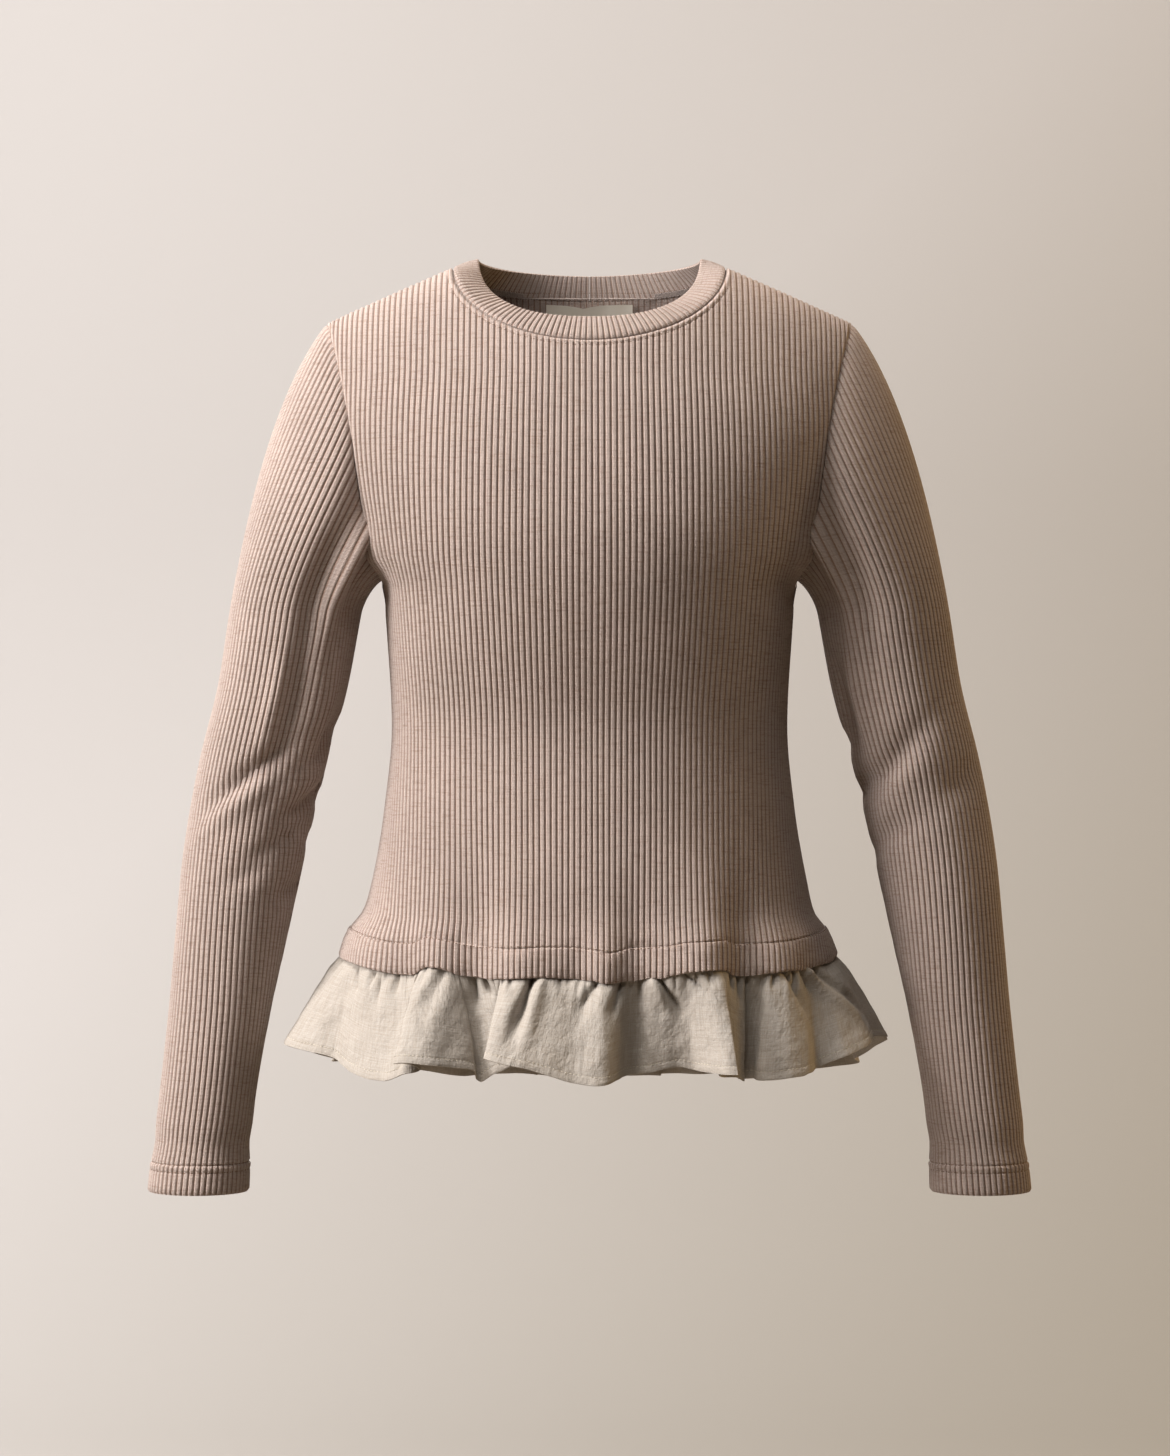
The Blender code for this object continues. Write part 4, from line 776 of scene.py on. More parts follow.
# turn 0 is outermost and 1 the seam under the arm: turn, z, round, up, push and rise
creases = {
    -1: (
        (0.46, -347, 0.17, 8, -6, 115), (0.44, -367, 0.16, 9, 3, 105), (0.59, -300, 0.06, 38, -5),
        (0.50, -296, 0.05, 34, 3), (0.76, -300, 0.08, 30, 3.5), (0.88, -322, 0.08, 16, -5, 90),
        (0.80, -348, 0.12, 9, 3.5, 60), (0.84, -366, 0.16, 7, -5, 70), (0.72, -391, 0.18, 6, -3.5, 60),
        (0.55, -414, 0.12, 7, -2.5, 60), (0.86, -426, 0.14, 8, -3, 40), (1, -316, 0.08, 7, -3.5),
        (-1, -316, 0.08, 7, -3.5), (1, -364, 0.08, 6, -3), (-1, -364, 0.08, 6, -3),
        (1, -392, 0.08, 6, -2.5), (-1, -392, 0.08, 6, -2.5), (-0.72, -352, 0.20, 9, -5, -70),
        (-0.60, -376, 0.18, 8, -3.5, -60), (0.69, -196, 0.045, 50, 8.5), (0.59, -216, 0.055, 44, -5.5),
        (0.82, -208, 0.06, 28, -5), (-0.70, -196, 0.06, 36, -3),
    ),
    1: (
        (0.60, -333, 0.17, 9, -5.5, -116), (0.61, -352, 0.16, 10, 2.5, -105),
        (0.85, -298, 0.07, 34, -5), (0.75, -290, 0.06, 30, 3), (0.86, -352, 0.12, 8, -4, -50),
        (0.70, -384, 0.18, 7, -3, -50), (0.30, -350, 0.14, 9, -3, -60), (1, -325, 0.08, 7, -3.5),
        (-1, -325, 0.08, 7, -3.5), (1, -360, 0.08, 6, -3), (-1, -360, 0.08, 6, -3),
        (1, -401, 0.08, 6, -2.5), (-1, -401, 0.08, 6, -2.5), (-0.66, -345, 0.20, 9, -5, -70),
        (-0.70, -372, 0.18, 8, -3.5, -60), (0.69, -192, 0.045, 48, 7), (0.59, -214, 0.055, 42, -5),
        (0.82, -206, 0.06, 28, -4.5), (-0.68, -192, 0.06, 36, -3),
    ),
}
sleeveTurn = {-1: 1.0, 1: mirror}  # worked out at the wearer's right, and mirrored to the left
sleeveLevels = np.linspace(-660.0, -200.0, 185)
sleeveHalves = (readTable(sleeve, name, sleeveLevels) for name in ("halfDepth", "halfWidth"))
sleeveRings = measureRings(sleeveLevels, *sleeveHalves, 2.0)


def sleeveQuarter(z):
    return np.interp(z, sleeveRings["levels"], sleeveRings["length"])


def tubePoint(turn, z):
    turn, z = np.broadcast_arrays(np.asarray(turn, float), np.asarray(z, float))
    half = np.abs(turn) * 2
    share = np.where(half <= 1, half, 2 - half)
    across = readRings(sleeveRings, "forward", share, z) * np.where(half <= 1, 1, -1)
    forward = readRings(sleeveRings, "across", share, z) * np.where(turn < 0, -1, 1)
    x = -readTable(sleeve, "middleX", z) - readTable(sleeve, "halfWidth", z) * across
    y = readTable(sleeve, "middleY", z) - readTable(sleeve, "halfDepth", z) * forward
    return together(x, y, z)


bicepsQuarter = float(sleeveQuarter(sleeve["bicepsZ"]))
bicepsColumn = 4 * bicepsQuarter / float(readTable(sleeve, "rib", sleeve["bicepsZ"]))


def capShare(turn):
    # how far along the armhole each column of the cap ends
    at = np.linspace(0, 1, 201)
    flat = 2 * bicepsQuarter
    steep = sleeve["capHeight"] * math.pi / 2 * np.sin(math.pi * at)
    length = np.concatenate([[0], np.cumsum(np.hypot(flat, steep)[1:])])
    return np.interp(np.abs(turn), at, length / length[-1])


def leaving(share, inFront):
    # from the crown round to the underarm, hanging down most beside the arm
    crown, underarm, hanging = (np.array(sleeve[w + "Way"]) for w in ("crown", "underarm", "hang"))
    mix, toFront = (share**1.5)[..., None], np.where(inFront, -1.0, 1.0)
    direction = crown * (1 - mix) + underarm * mix
    direction[..., 1] += toFront * sleeve["spreadOut"] * np.sin(math.pi * share)
    hang = (sleeve["hangShare"] * np.sin(math.pi * np.clip(share, 0, 1)) ** 0.6)[..., None]
    falling = together(*np.broadcast_arrays(hanging[0], hanging[1] * toFront, hanging[2]))
    return unit(unit(direction) * (1 - hang) + unit(falling) * hang)


armLines = {side: armholeLine(side)[::-1] for side in sides}
for line in armLines.values():
    line[[0, -1], 1] = 0.0


def capPoint(turn, rise):
    inFront = turn >= 0
    share = capShare(turn)
    low = tubePoint(turn, np.full_like(turn, sleeve["bicepsZ"]))
    frontLine, backLine = (alongLine(armLines[side], share) for side in sides)
    high = np.where(inFront[..., None], frontLine, backLine)
    span = np.linalg.norm(high - low, axis=-1, keepdims=True) * sleeve["capPull"]
    up = unit(low - tubePoint(turn, np.full_like(turn, sleeve["bicepsZ"] - 4)))
    return cubic(rise[..., None], low, up * span, high, -leaving(share, inFront) * span)


def tubeZ(v):
    return sleeve["cuffZ"] + np.clip(v, 0, 1) * (sleeve["bicepsZ"] - sleeve["cuffZ"])


def sleevePlain(column, v):
    # v runs 0 to 1 from the cuff to the biceps, and on to 2 at the armhole
    column, v = np.broadcast_arrays(np.asarray(column, float), np.asarray(v, float))
    z = tubeZ(v)
    turn = column / 4 * readTable(sleeve, "rib", z) / sleeveQuarter(z)
    low = tubePoint(np.clip(turn, -1, 1), z)
    high = capPoint(np.clip(column / bicepsColumn, -1, 1), np.clip(v - 1, 0, 1))
    below = v <= 1
    return np.where(below[..., None], low, high), np.where(below, turn, column / bicepsColumn)


def sleeveEdge(v):
    z = tubeZ(v)
    return np.where(v <= 1, 4 * sleeveQuarter(z) / readTable(sleeve, "rib", z), bicepsColumn)


def sleeveBase(hand, column, v):
    return foldedFace(sleevePlain, column, v, creases[hand], sleeve["feel"], sleeveEdge(v))


def sleeveOuter(hand, column, v):
    base, out = sleeveBase(hand, column, v)
    arms = np.vstack([armLines[side] for side in sides])
    distances = {
        "arm": np.where(v > 1.5, distanceTo(arms, base), farAway),
        "side": (sleeveEdge(v) - np.abs(column)) * readTable(sleeve, "rib", base[..., 2]) / 2,
    }
    above = base[..., 2] - sleeve["cuffZ"]
    wall = wallOver(column, distances, above, sleeve["needleRows"][1], 0.3)
    for push, height, reach in sleeve["swells"]:
        wall += push * bump(above, height, reach)
    return base + out * wall[..., None]


def sleeveMap(hand, column, v):
    # the two sleeves read different parts of the pattern
    along = sleevePlain(column, v)[0][..., 2] / sleeve["uvRib"]
    return together(column / 2 + 200 * (1 + hand), along)


def makeSleeve(name, hand):
    length = sleeve["bicepsZ"] - sleeve["cuffZ"]
    details = ((0.7, 0.7, 4), (sleeve["needleRows"][0], 0.9, 3), (sleeve["needleRows"][1], 1.8, 7))
    rows = sheetRows(length, sleeve["rowSpacing"], details, sleeve["capRows"], 1.3)
    edges, turned = sleeveEdge(rows) - 0.05, sleeveTurn[hand]
    return makeSheet(name, hand, rows, edges, sleeveOuter, sleeveBase, sleeveMap, turned)


sleeveRight = makeSleeve("knit_sleeve_right", -1)
sleeveLeft = makeSleeve("knit_sleeve_left", 1)
print("sleeves made:", len(sleeveLeft.data.polygons), "faces each")


band = {
    "halfWidth": 76.0,
    "rise": 6.2,
    "drop": {"front": 45.2, "back": 3.4},
    "depth": {"front": -65.0, "back": 62.0},
    "squareness": 2.4,
    "wall": 1.6,
    "ribRise": 0.95,
    "ribs": {"front": 39, "back": 34},
    "samplesPerRib": 6,
    "puff": 0.7,
    "width": 19.5,
    # share left at the seam of the ribs and the wall, and where across the band they are whole
    "pressed": (0.25, 0.12),
    "thin": (0.45, 0.10),
    # place across the band, its height off the inner face, and how much of a rib shows there
    "profile": [(a, 1.0, 1.0) for a in (0.02, 0.06, 0.12, 0.22, 0.36, 0.5, 0.64, 0.78, 0.9, 0.965)]
    + [(1.0, 0.78, 0.9), (1.012, 0.45, 0.8), (1.0, 0.12, 0.8)]
    + [(a, 0.0, 0.7) for a in (0.955, 0.8, 0.6, 0.4, 0.2, 0.06, 0.0)],
}


def bandEdge(side, angle):
    power = 2 / band["squareness"]
    x = band["halfWidth"] * np.sin(angle) ** power
    lean = np.maximum(np.cos(angle), 0.0) ** power
    # the back edge dips to its middle almost straight, as a slack cloth edge does
    fall = lean if side == "front" else 1 - (x / band["halfWidth"]) ** 1.35
    return together(x, band["depth"][side] * lean, band["rise"] - band["drop"][side] * fall)


quarterAngle = np.linspace(0, math.pi / 2, 400)
bandLines = {side: (neckSeam(side, quarterAngle), bandEdge(side, quarterAngle)) for side in sides}
bandLast = 2.0 * (band["ribs"]["front"] + band["ribs"]["back"])


def bandPoint(column, across):
    # column 0 is the middle of the front; across runs 0 to 1 from the seam to the open edge
    column, across = np.broadcast_arrays(np.asarray(column, float), np.asarray(across, float))
    frontEnd = 2.0 * band["ribs"]["front"]
    size = np.abs(column)
    found = np.zeros((*column.shape, 3))
    inFront = size <= frontEnd
    backShare = 1 - (size - frontEnd) / (2.0 * band["ribs"]["back"])
    for side, share, here in (("front", size / frontEnd, inFront), ("back", backShare, ~inFront)):
        seam, edge = (alongLine(line, share) for line in bandLines[side])
        found[here] = (seam + across[..., None] * (edge - seam))[here]
    found[..., 0] *= np.where(column < 0, -1.0, 1.0)
    return found


def bandFrame(column):
    # the way across the band and the way out of it, evened out along its length
    zero, one = np.zeros_like(column), np.ones_like(column)
    ahead = np.clip(column + 1.5, -bandLast, bandLast)
    behind = np.clip(column - 1.5, -bandLast, bandLast)
    up = unit(bandPoint(column, one) - bandPoint(column, zero))
    out = unit(np.cross(bandPoint(ahead, zero + 0.5) - bandPoint(behind, zero + 0.5), up))
    return up, out


def makeBand():
    count = int(bandLast * band["samplesPerRib"] / 2)
    columns = np.linspace(-bandLast + 0.06, bandLast - 0.06, 2 * count + 1)
    up, out = bandFrame(columns)
    rib = ribShape(columns)
    joined = ramp(0.0, 1.6, bandLast - np.abs(columns))
    rings = []
    for across, lift, share in band["profile"]:
        inside = min(across, 1.0)
        base = bandPoint(columns, np.full_like(columns, inside))
        thick = band["wall"] + band["puff"] * math.sin(math.pi * inside)
        least, whole = band["pressed"]
        pressed = least + (1 - least) * min(1.0, across / whole) if lift > 0.5 else 1.0
        least, whole = band["thin"]
        outward = lift * (thick * (least + (1 - least) * min(1.0, across / whole)))
        relief = band["ribRise"] * rib * share * pressed * (1 if lift > 0.3 else -0.5)
        push = (outward + relief) * (0.6 + 0.4 * joined)
        rings.append(base + out * push[:, None] + up * (across - inside) * band["width"])
    grid = np.array(rings)
    tall, wide = grid.shape[:2]
    faces = []
    for r in range(tall):
        a, b = r * wide, (r + 1) % tall * wide
        faces += [(a + c, a + c + 1, b + c + 1, b + c) for c in range(wide - 1)]
    faces.append(tuple(r * wide for r in range(tall)))
    faces.append(tuple(r * wide + wide - 1 for r in range(tall - 1, -1, -1)))
    uv = [(c / 2 + 90, a * 5.2 + lift) for a, lift, _ in band["profile"] for c in columns]
    return makePiece("knit_neckband", grid.reshape(-1, 3), faces, uv, ribKnit)


neckband = makeBand()
print("neckband made:", len(neckband.data.polygons), "faces")


ruffle = {
    "length": 70.0,
    "tuck": 7.0,  # how far its gathered edge goes up inside the hem
    "wall": 0.9,
    "flare": {"middle": 20.0, "side": 37.0},
    "hem": 5.5,
    "hemRise": 0.12,
    "needlePull": (0.2, 0.5),
    "edgeThin": 0.25,
    # fine wrinkles: depth, lengths across and along, and, for the second, how much it wanders
    "wrinkle": (0.30, 3.1, 9.0),
    "crossed": (0.28, 6.7, 5.1, 1.3),
    "stepsPerFold": {"front": 10, "back": 16},
    "depth": {"front": 1.0, "back": 1.6},
    "gather": 3.2,
    "sweep": 0.8,  # how early a fold leaves its place at the hem
    "curl": 0.75,  # how early it stands out
    "swing": (1.1, 0.3),  # how the flare grows downwards, and faster at the sides
}
# seam: place along the hem; edge: place along the free edge; out: how far it stands out; drop
folds = {
    "front": (
        (-230, -230, 0, 0), (-214, -213, 4, -4), (-200, -196, 9, -5), (-186, -181, 1, -4),
        (-176, -168, -9, -2), (-168, -160, -7, 0), (-156, -147, 0, 2), (-145, -134, 6, 3),
        (-136, -121, 9, 3), (-131, -112, 8, 3), (-127, -106, 4, 2), (-124, -104, 0, 0),
        (-122, -107, 10, -4), (-120, -113, 18, -5), (-116, -110, 20, -5), (-107, -96, 18, -7),
        (-98, -85, 12, -8), (-93, -77, 5, -8), (-91, -73, -2, -6), (-90, -74, -9, -1),
        (-87, -71, -10, 1), (-81, -63, -13, -4), (-74, -56, -16, -7), (-67, -51, -18, -10),
        (-62, -49, -17, -12), (-60, -55, -2, -15), (-58, -62, 14, -17), (-53, -62, 18, -17),
        (-42, -55, 19, -15), (-28, -41, 19, -11), (-15, -25, 20, -6), (-4, -11, 21, -2), (6, 0, 20, -1),
        (14, 10, 15, -3), (20, 17, 4, -5), (25, 22, -9, -5), (33, 31, -14, -5), (41, 40, -9, -6),
        (48, 48, -12, -7), (56, 58, -17, -6), (63, 66, -18, -3), (70, 73, -8, -1), (80, 81, 10, 0),
        (87, 86, 15, 0), (89, 85, 14, 0), (90, 79, 0, 1), (94, 84, -5, 3), (101, 91, -3, 3),
        (111, 98, -3, 3), (114, 98, -12, 2), (118, 104, -17, 2), (122, 110, -15, 2), (124, 107, -2, 2),
        (126, 108, 2, 2), (133, 115, 5, 2), (141, 124, 4, 2), (147, 130, 3, 2), (152, 135, 1, 1),
        (157, 140, -3, 1), (164, 147, -8, 0), (170, 153, -3, -3), (178, 161, 6, -7), (188, 173, 8, -10),
        (198, 187, 2, -12), (212, 205, -5, -9), (230, 230, 0, -2),
    ),
    "back": (
        (-241, -241, 0, 0), (-224, -226, -4, 4), (-206, -204, -5, 9), (-186, -184, 6, 12),
        (-170, -166, -6, 13), (-152, -146, 8, 13), (-140, -134, 6, 14), (-134, -136, -4, 14),
        (-118, -120, -6, 13), (-102, -100, 6, 14), (-86, -82, -5, 14), (-68, -62, 8, 15),
        (-56, -50, 7, 15), (-50, -52, -4, 15), (-34, -36, -6, 14), (-16, -16, 7, 15), (2, 2, -5, 15),
        (20, 24, 7, 16), (36, 40, 7, 16), (42, 38, -4, 15), (58, 56, -6, 14), (76, 76, 6, 15),
        (94, 95, -6, 14), (112, 116, 8, 14), (125, 129, 6, 14), (132, 128, -4, 13), (150, 148, -5, 12),
        (170, 170, 6, 12), (190, 190, -5, 9), (208, 210, -3, 6), (224, 226, -5, 3), (241, 241, 0, 0),
    ),
}
# creases under the gathered edge: place at the hem, place and depth of its end, width, push
gathers = {
    "front": (
        (-203, -198, 30, 5, -3), (-172, -165, 19, 2.6, -5), (-152, -152, 8, 1.8, -3),
        (-143, -146, 24, 3.4, -2.5), (-136, -133, 12, 2, -3.5), (-118, -115, 62, 1.5, -4.5),
        (-111, -110, 14, 2.2, -3), (-98, -105, 38, 4.2, -4.5), (-80, -77, 20, 2.6, -4),
        (-72, -66, 12, 2.4, -5), (-57, -59, 24, 2.4, -4.5), (-52, -51, 8, 1.6, -3),
        (-38, -47, 48, 3.2, -11), (-31, -39, 40, 3.4, 3), (-20, -19, 10, 2, -2.5),
        (5, -6, 22, 3.4, -5.5), (21, 13, 24, 3, -5), (34, 34, 16, 2.2, -3.5), (47, 61, 28, 2.4, -5.5),
        (41, 52, 24, 3, 2.5), (63, 84, 22, 1.7, -3), (70, 72, 8, 1.6, -2.5), (78, 79, 9, 1.8, -2.5),
        (96, 95, 12, 2.2, -4), (103, 102, 16, 2.4, -4), (110, 108, 26, 2.4, -4), (128, 124, 10, 2, -3),
        (135, 146, 30, 3, -4.5), (143, 141, 12, 2.2, -3.5), (152, 158, 14, 2.4, -4),
        (160, 180, 44, 3.4, 4.5), (168, 192, 44, 3.6, -4.5),
    ),
    "back": (
        (-190, -184, 30, 3, -4.5), (-165, -168, 20, 2.6, -4), (-138, -130, 34, 3.4, -5),
        (-120, -121, 14, 2.2, -3.5), (-98, -104, 26, 2.8, -4.5), (-76, -75, 12, 2, -3.5),
        (-55, -64, 38, 3.4, -5.5), (-33, -31, 16, 2.4, -4), (-12, -6, 28, 3, -4.5),
        (12, 12, 12, 2, -3.5), (32, 42, 36, 3.4, -5.5), (54, 53, 16, 2.4, -3.5), (78, 70, 30, 3, -4.5),
        (98, 99, 14, 2.2, -4), (121, 130, 34, 3.2, -5), (146, 145, 14, 2.4, -3.5),
        (166, 160, 28, 3, -4.5), (192, 197, 26, 3, -4),
    ),
}


def ruffleMiddle(side, knot, down):
    # down is in millimetres from the hem's edge, and negative inside the hem
    table = np.array(folds[side], float)
    counts = np.arange(len(table), dtype=float)
    seam, edge, out, drop = (smoothRead(counts, table[:, k], knot) for k in range(4))
    quarter = hemQuarter[side]
    seam, edge = seam * (quarter / table[-1, 0]), edge * (quarter / table[-1, 0])
    share = np.clip(down / ruffle["length"], 0, 1)
    place = seam + (edge - seam) * share ** ruffle["sweep"]
    column = 2 * np.clip(place, -quarter, quarter) / hemRib
    point, way = panelBase(side, column, np.zeros_like(column))
    way = unit(way * np.array((1, 1, 0)))
    sideShare = np.abs(place) / quarter
    flare = ruffle["flare"]["middle"]
    flare = flare + (ruffle["flare"]["side"] - flare) * sideShare**2
    # gathers at the seam, which open out downwards
    phase = seam / 3.4 + 1.6 * np.sin(seam / 11.0) + 0.9 * np.sin(seam / 4.7 + 1.0)
    lobes = np.abs(np.sin(phase)) ** 0.6 * (0.65 + 0.35 * np.sin(seam / 8.3 + 2.0))
    reach = 13.0 + 7.0 * np.sin(seam / 15.0)
    gather = lobes * ruffle["gather"] * np.exp(-((np.maximum(down, 0) / reach) ** 1.4))
    swing = share ** (ruffle["swing"][0] - ruffle["swing"][1] * sideShare**2)
    deep = ruffle["depth"][side] * out * share ** ruffle["curl"]
    stand = flare * swing + deep + gather * ramp(-4.0, 5.0, down)
    for start, finish, end, wide, push in gathers[side]:
        along = np.clip(down / end, 0, 1)
        away = (place - start - (finish - start) * along) / (wide * (0.7 + 0.8 * along))
        fade = ramp(-3.0, 2.0, down) * (1 - ramp(0.6, 1.35, down / end))
        stand = stand + push * np.exp(-(away**2)) * fade
    stand = stand - 1.5 + 1.6 * ramp(0.0, 12.0, down)
    fall = (np.sqrt(ruffle["length"] ** 2 - flare**2) + drop) * share + np.minimum(down, 0)
    moved = point + way * stand[..., None]
    moved[..., 2] -= fall
    return moved


def ruffleRows():
    # below the hem's edge, with close rows at the stitched hem
    low = ruffle["length"] - ruffle["hem"]
    rows = [-ruffle["tuck"], -4, -2, 0, 1.5, 3, 5, 7.5, 10.5, 14, 18, 22.5, 27, 32, 37, 42, 47, 52]
    return np.array(rows + [57, 61, low - 1, low - 0.5, low, low + 0.5, low + 1, 68, 69.3, 70])


def makeRuffle(side):
    last = len(folds[side]) - 1
    knot = np.linspace(0, last, last * ruffle["stepsPerFold"][side] + 1)
    knots, downs = np.meshgrid(knot, ruffleRows())
    middle = ruffleMiddle(side, knots, downs)
    out = unit(np.cross(np.gradient(middle, axis=1), -np.gradient(middle, axis=0)))
    low = ruffle["length"] - ruffle["hem"]
    pull, wide = ruffle["needlePull"]
    half = 0.5 * ruffle["wall"] + ruffle["hemRise"] * ramp(low - 0.2, low + 0.8, downs)
    half = half - pull * bump(downs, low, wide) - ruffle["edgeThin"] * ramp(69.0, 70.0, downs)
    x, z = middle[..., 0], middle[..., 2]
    depth, across, along = ruffle["wrinkle"]
    wrinkle = depth * np.sin(x / across + z / along) * np.sin(downs / 8.0)
    depth, across, along, turn = ruffle["crossed"]
    turn = turn * np.sin(x / 15.0)
    wrinkle += depth * np.sin(x / across - z / along + turn) * np.sin(downs / 11.0)
    outer, inner = (middle + out * (wrinkle + way * half)[..., None] for way in (1, -1))
    outer[:, [0, -1], 1] = inner[:, [0, -1], 1] = -0.12 * facing[side]
    length = travelled(middle[len(middle) // 2])
    uv = together(np.broadcast_to(length, downs.shape), downs)
    return makeWall("linen_ruffle_" + side, outer, inner, uv, linenWeave)


ruffleFront, ruffleBack = makeRuffle("front"), makeRuffle("back")
print("ruffle made:", len(ruffleFront.data.polygons) + len(ruffleBack.data.polygons), "faces")


label = {
    "width": 61.0,
    "topZ": -16.5,
    "height": 34.0,
    "gap": 1.6,
    "wall": 0.6,
    "buckles": ((1.6, 3.0, 9.0), (-0.8, -14, 7.0), (1.2, 19, 6.0)),  # push, place and width
    "buckleReach": 12.0,
    "ripple": (0.6, 9.0),
    "sag": (3.0, -4.0, 8.0),  # depth, place and reach of the sag in its top edge
}


def makeLabel():
    across = np.linspace(-label["width"] / 2, label["width"] / 2, 41)
    x, d = np.meshgrid(across, np.linspace(0, label["height"], 23))
    z = label["topZ"] - d
    y = depthAt("back", x, z) - label["gap"]
    # its top edge buckles between the stitches
    buckle = sum(push * bump(x, place, wide) for push, place, wide in label["buckles"])
    push, wide = label["ripple"]
    y = y - buckle * np.exp(-d / label["buckleReach"]) - push * np.sin(x / wide) * d / label["height"]
    push, place, wide = label["sag"]
    z = z - push * np.exp(-np.abs(x - place) / wide) * np.exp(-d / wide)
    outer = together(x, y, z)
    inner = outer - np.array((0, label["wall"], 0))
    return makeWall("neck_label", outer, inner, together(x, d), labelTape)


neckLabel = makeLabel()
print("label made, left blank")


# a needle row's distance from the sheet's edges, in columns, its lift and its points
stitchRows = {"hem": (0.3, 0.15, 900), "cuff": (0.2, 0.12, 420), "neck": (0.4, 0.1, 500)}
# one small thread bar stands at each step along a seam line: spacing, length and radius
stitches = {
    "knit": (2.6, 1.7, 0.30),
    "linen": (2.8, 2.1, 0.2),
    "coverRows": (1.9, 1.1, 0.3),
    "coverLooper": (1.1, 1.5, 0.42),
}


def threadTree(name, material, sizes):
    tree = bpy.data.node_groups.new(name, "GeometryNodeTree")
    for way in ("INPUT", "OUTPUT"):
        tree.interface.new_socket("Geometry", in_out=way, socket_type="NodeSocketGeometry")
    for text, value in zip(("Stitch Spacing", "Stitch Length", "Thread Radius"), sizes):
        socket = tree.interface.new_socket(text, in_out="INPUT", socket_type="NodeSocketFloat")
        socket.default_value = value * mm
    n = Nodes(tree)
    lines, spacing, length, radius = n.add("NodeGroupInput").outputs[:4]
    curve = n.add("GeometryNodeMeshToCurve", {0: lines}).outputs[0]
    inputs = {"Curve": curve, "Length": spacing}
    points = n.add("GeometryNodeResampleCurve", inputs, mode="LENGTH").outputs[0]
    tangent = n.add("GeometryNodeInputTangent").outputs[0]
    turn = n.add("FunctionNodeAlignRotationToVector", {"Vector": tangent}, axis="X").outputs[0]
    bar = n.add("GeometryNodeMeshUVSphere", {"Segments": 6, "Rings": 4, "Radius": 1.0})
    scale = n.add("ShaderNodeCombineXYZ", {0: n.times(length, 0.5), 1: radius, 2: radius}).outputs[0]
    inputs = {"Points": points, "Instance": bar.outputs["Mesh"], "Rotation": turn, "Scale": scale}
    placed = n.add("GeometryNodeInstanceOnPoints", inputs).outputs[0]
    real = n.add("GeometryNodeRealizeInstances", {0: placed}).outputs[0]
    done = n.add("GeometryNodeSetMaterial", {0: real, "Material": material}).outputs[0]
    n.add("NodeGroupOutput", {0: done})
    return tree


def makeStitches(name, kind, lines, material):
    points, edges = [], []
    for line in lines:
        start = len(points)
        points += (line * mm).tolist()
        edges += [(start + k, start + k + 1) for k in range(len(line) - 1)]
    mesh = bpy.data.meshes.new(name + "_lines")
    mesh.from_pydata(points, edges, [])
    guide = addObject(name + "_lines", mesh)
    tree = threadTree(name + "_tree", material, stitches[kind])
    modifier = guide.modifiers.new("thread", "NODES")
    modifier.node_group = tree
    ids = [s.identifier for s in tree.interface.items_tree if s.in_out == "INPUT"]
    for identifier, value in zip(ids[1:], stitches[kind]):
        modifier[identifier] = value * mm
    bpy.context.view_layer.update()
    evaluated = guide.evaluated_get(bpy.context.evaluated_depsgraph_get())
    final = bpy.data.meshes.new_from_object(evaluated)
    guide.modifiers.remove(modifier)
    bpy.data.objects.remove(guide)
    final.name = name
    final.shade_smooth()
    return addObject(name, final)


def rowPlaces(kind, edge):
    short, _, count = stitchRows[kind]
    return np.linspace(short - edge, edge - short, count)


def rowLine(kind, outerAt, baseAt, key, columns, v):
    vs = np.full_like(columns, v)
    return outerAt(key, columns, vs) + baseAt(key, columns, vs)[1] * stitchRows[kind][1]


def hemLine(side):
    v = torso["hemDepth"] / torso["detailSpan"]
    columns = rowPlaces("hem", float(np.interp(v, panelRows[side], panelEdges[side])))
    return rowLine("hem", panelOuter, panelBase, side, columns, v)


def cuffLine(hand, above):
    v = above / (sleeve["bicepsZ"] - sleeve["cuffZ"])
    columns = rowPlaces("cuff", float(sleeveEdge(np.array(v))))
    return rowLine("cuff", sleeveOuter, sleeveBase, hand, columns, v) * sleeveTurn[hand]


def neckStitchLine(side):
    # the needle row on the panel below the neck seam
    ribs, heights = tops[side]
    reach = torso["neckHalf"] + 0.5
    edge = float(np.interp(reach, np.abs(bodyPoint(side, ribs, heights)[:, 0]), ribs)) * 2
    columns = rowPlaces("neck", edge)
    seam = neckSeam(side, seamAngle)

    def below(v):
        return distanceTo(seam, panelBase(side, columns, v)[0]) >= knit["neckStitch"]

    low = halve(below, np.full_like(columns, 1.3), np.full_like(columns, 2.0), 16)
    return rowLine("neck", panelOuter, panelBase, side, columns, low)


def ruffleLine(side):
    last = len(folds[side]) - 1
    knot = np.linspace(0.05, last - 0.05, last * 20)
    down = np.full_like(knot, ruffle["length"] - ruffle["hem"])
    here = ruffleMiddle(side, knot, down)
    ahead, below = ruffleMiddle(side, knot + 0.02, down), ruffleMiddle(side, knot, down + 0.5)
    out = unit(np.cross(ahead - here, here - below))
    return here + out * (0.5 * ruffle["wall"] + 0.1)


knitLines = [hemLine(side) for side in sides]
knitLines += [cuffLine(hand, above) for hand in (-1, 1) for above in sleeve["needleRows"]]
knitLines += [neckStitchLine(side) for side in sides]
knitStitches = makeStitches("knit_stitches", "knit", knitLines, darkThread)
ruffleLines = [ruffleLine(side) for side in sides]
linenStitches = makeStitches("linen_stitches", "linen", ruffleLines, linenThread)
print("stitches made")


cover = {
    "start": 0.36,  # where along half the back neck it begins
    "points": 350,
    "upper": 0.17,  # share of the band's width up to the upper row
    "below": 1.7,  # the lower row's distance under the seam
    "inward": (0.9, 0.4),
    "zigzag": (8, 0.12, 0.88),  # points in one turn, and how far the thread swings
}


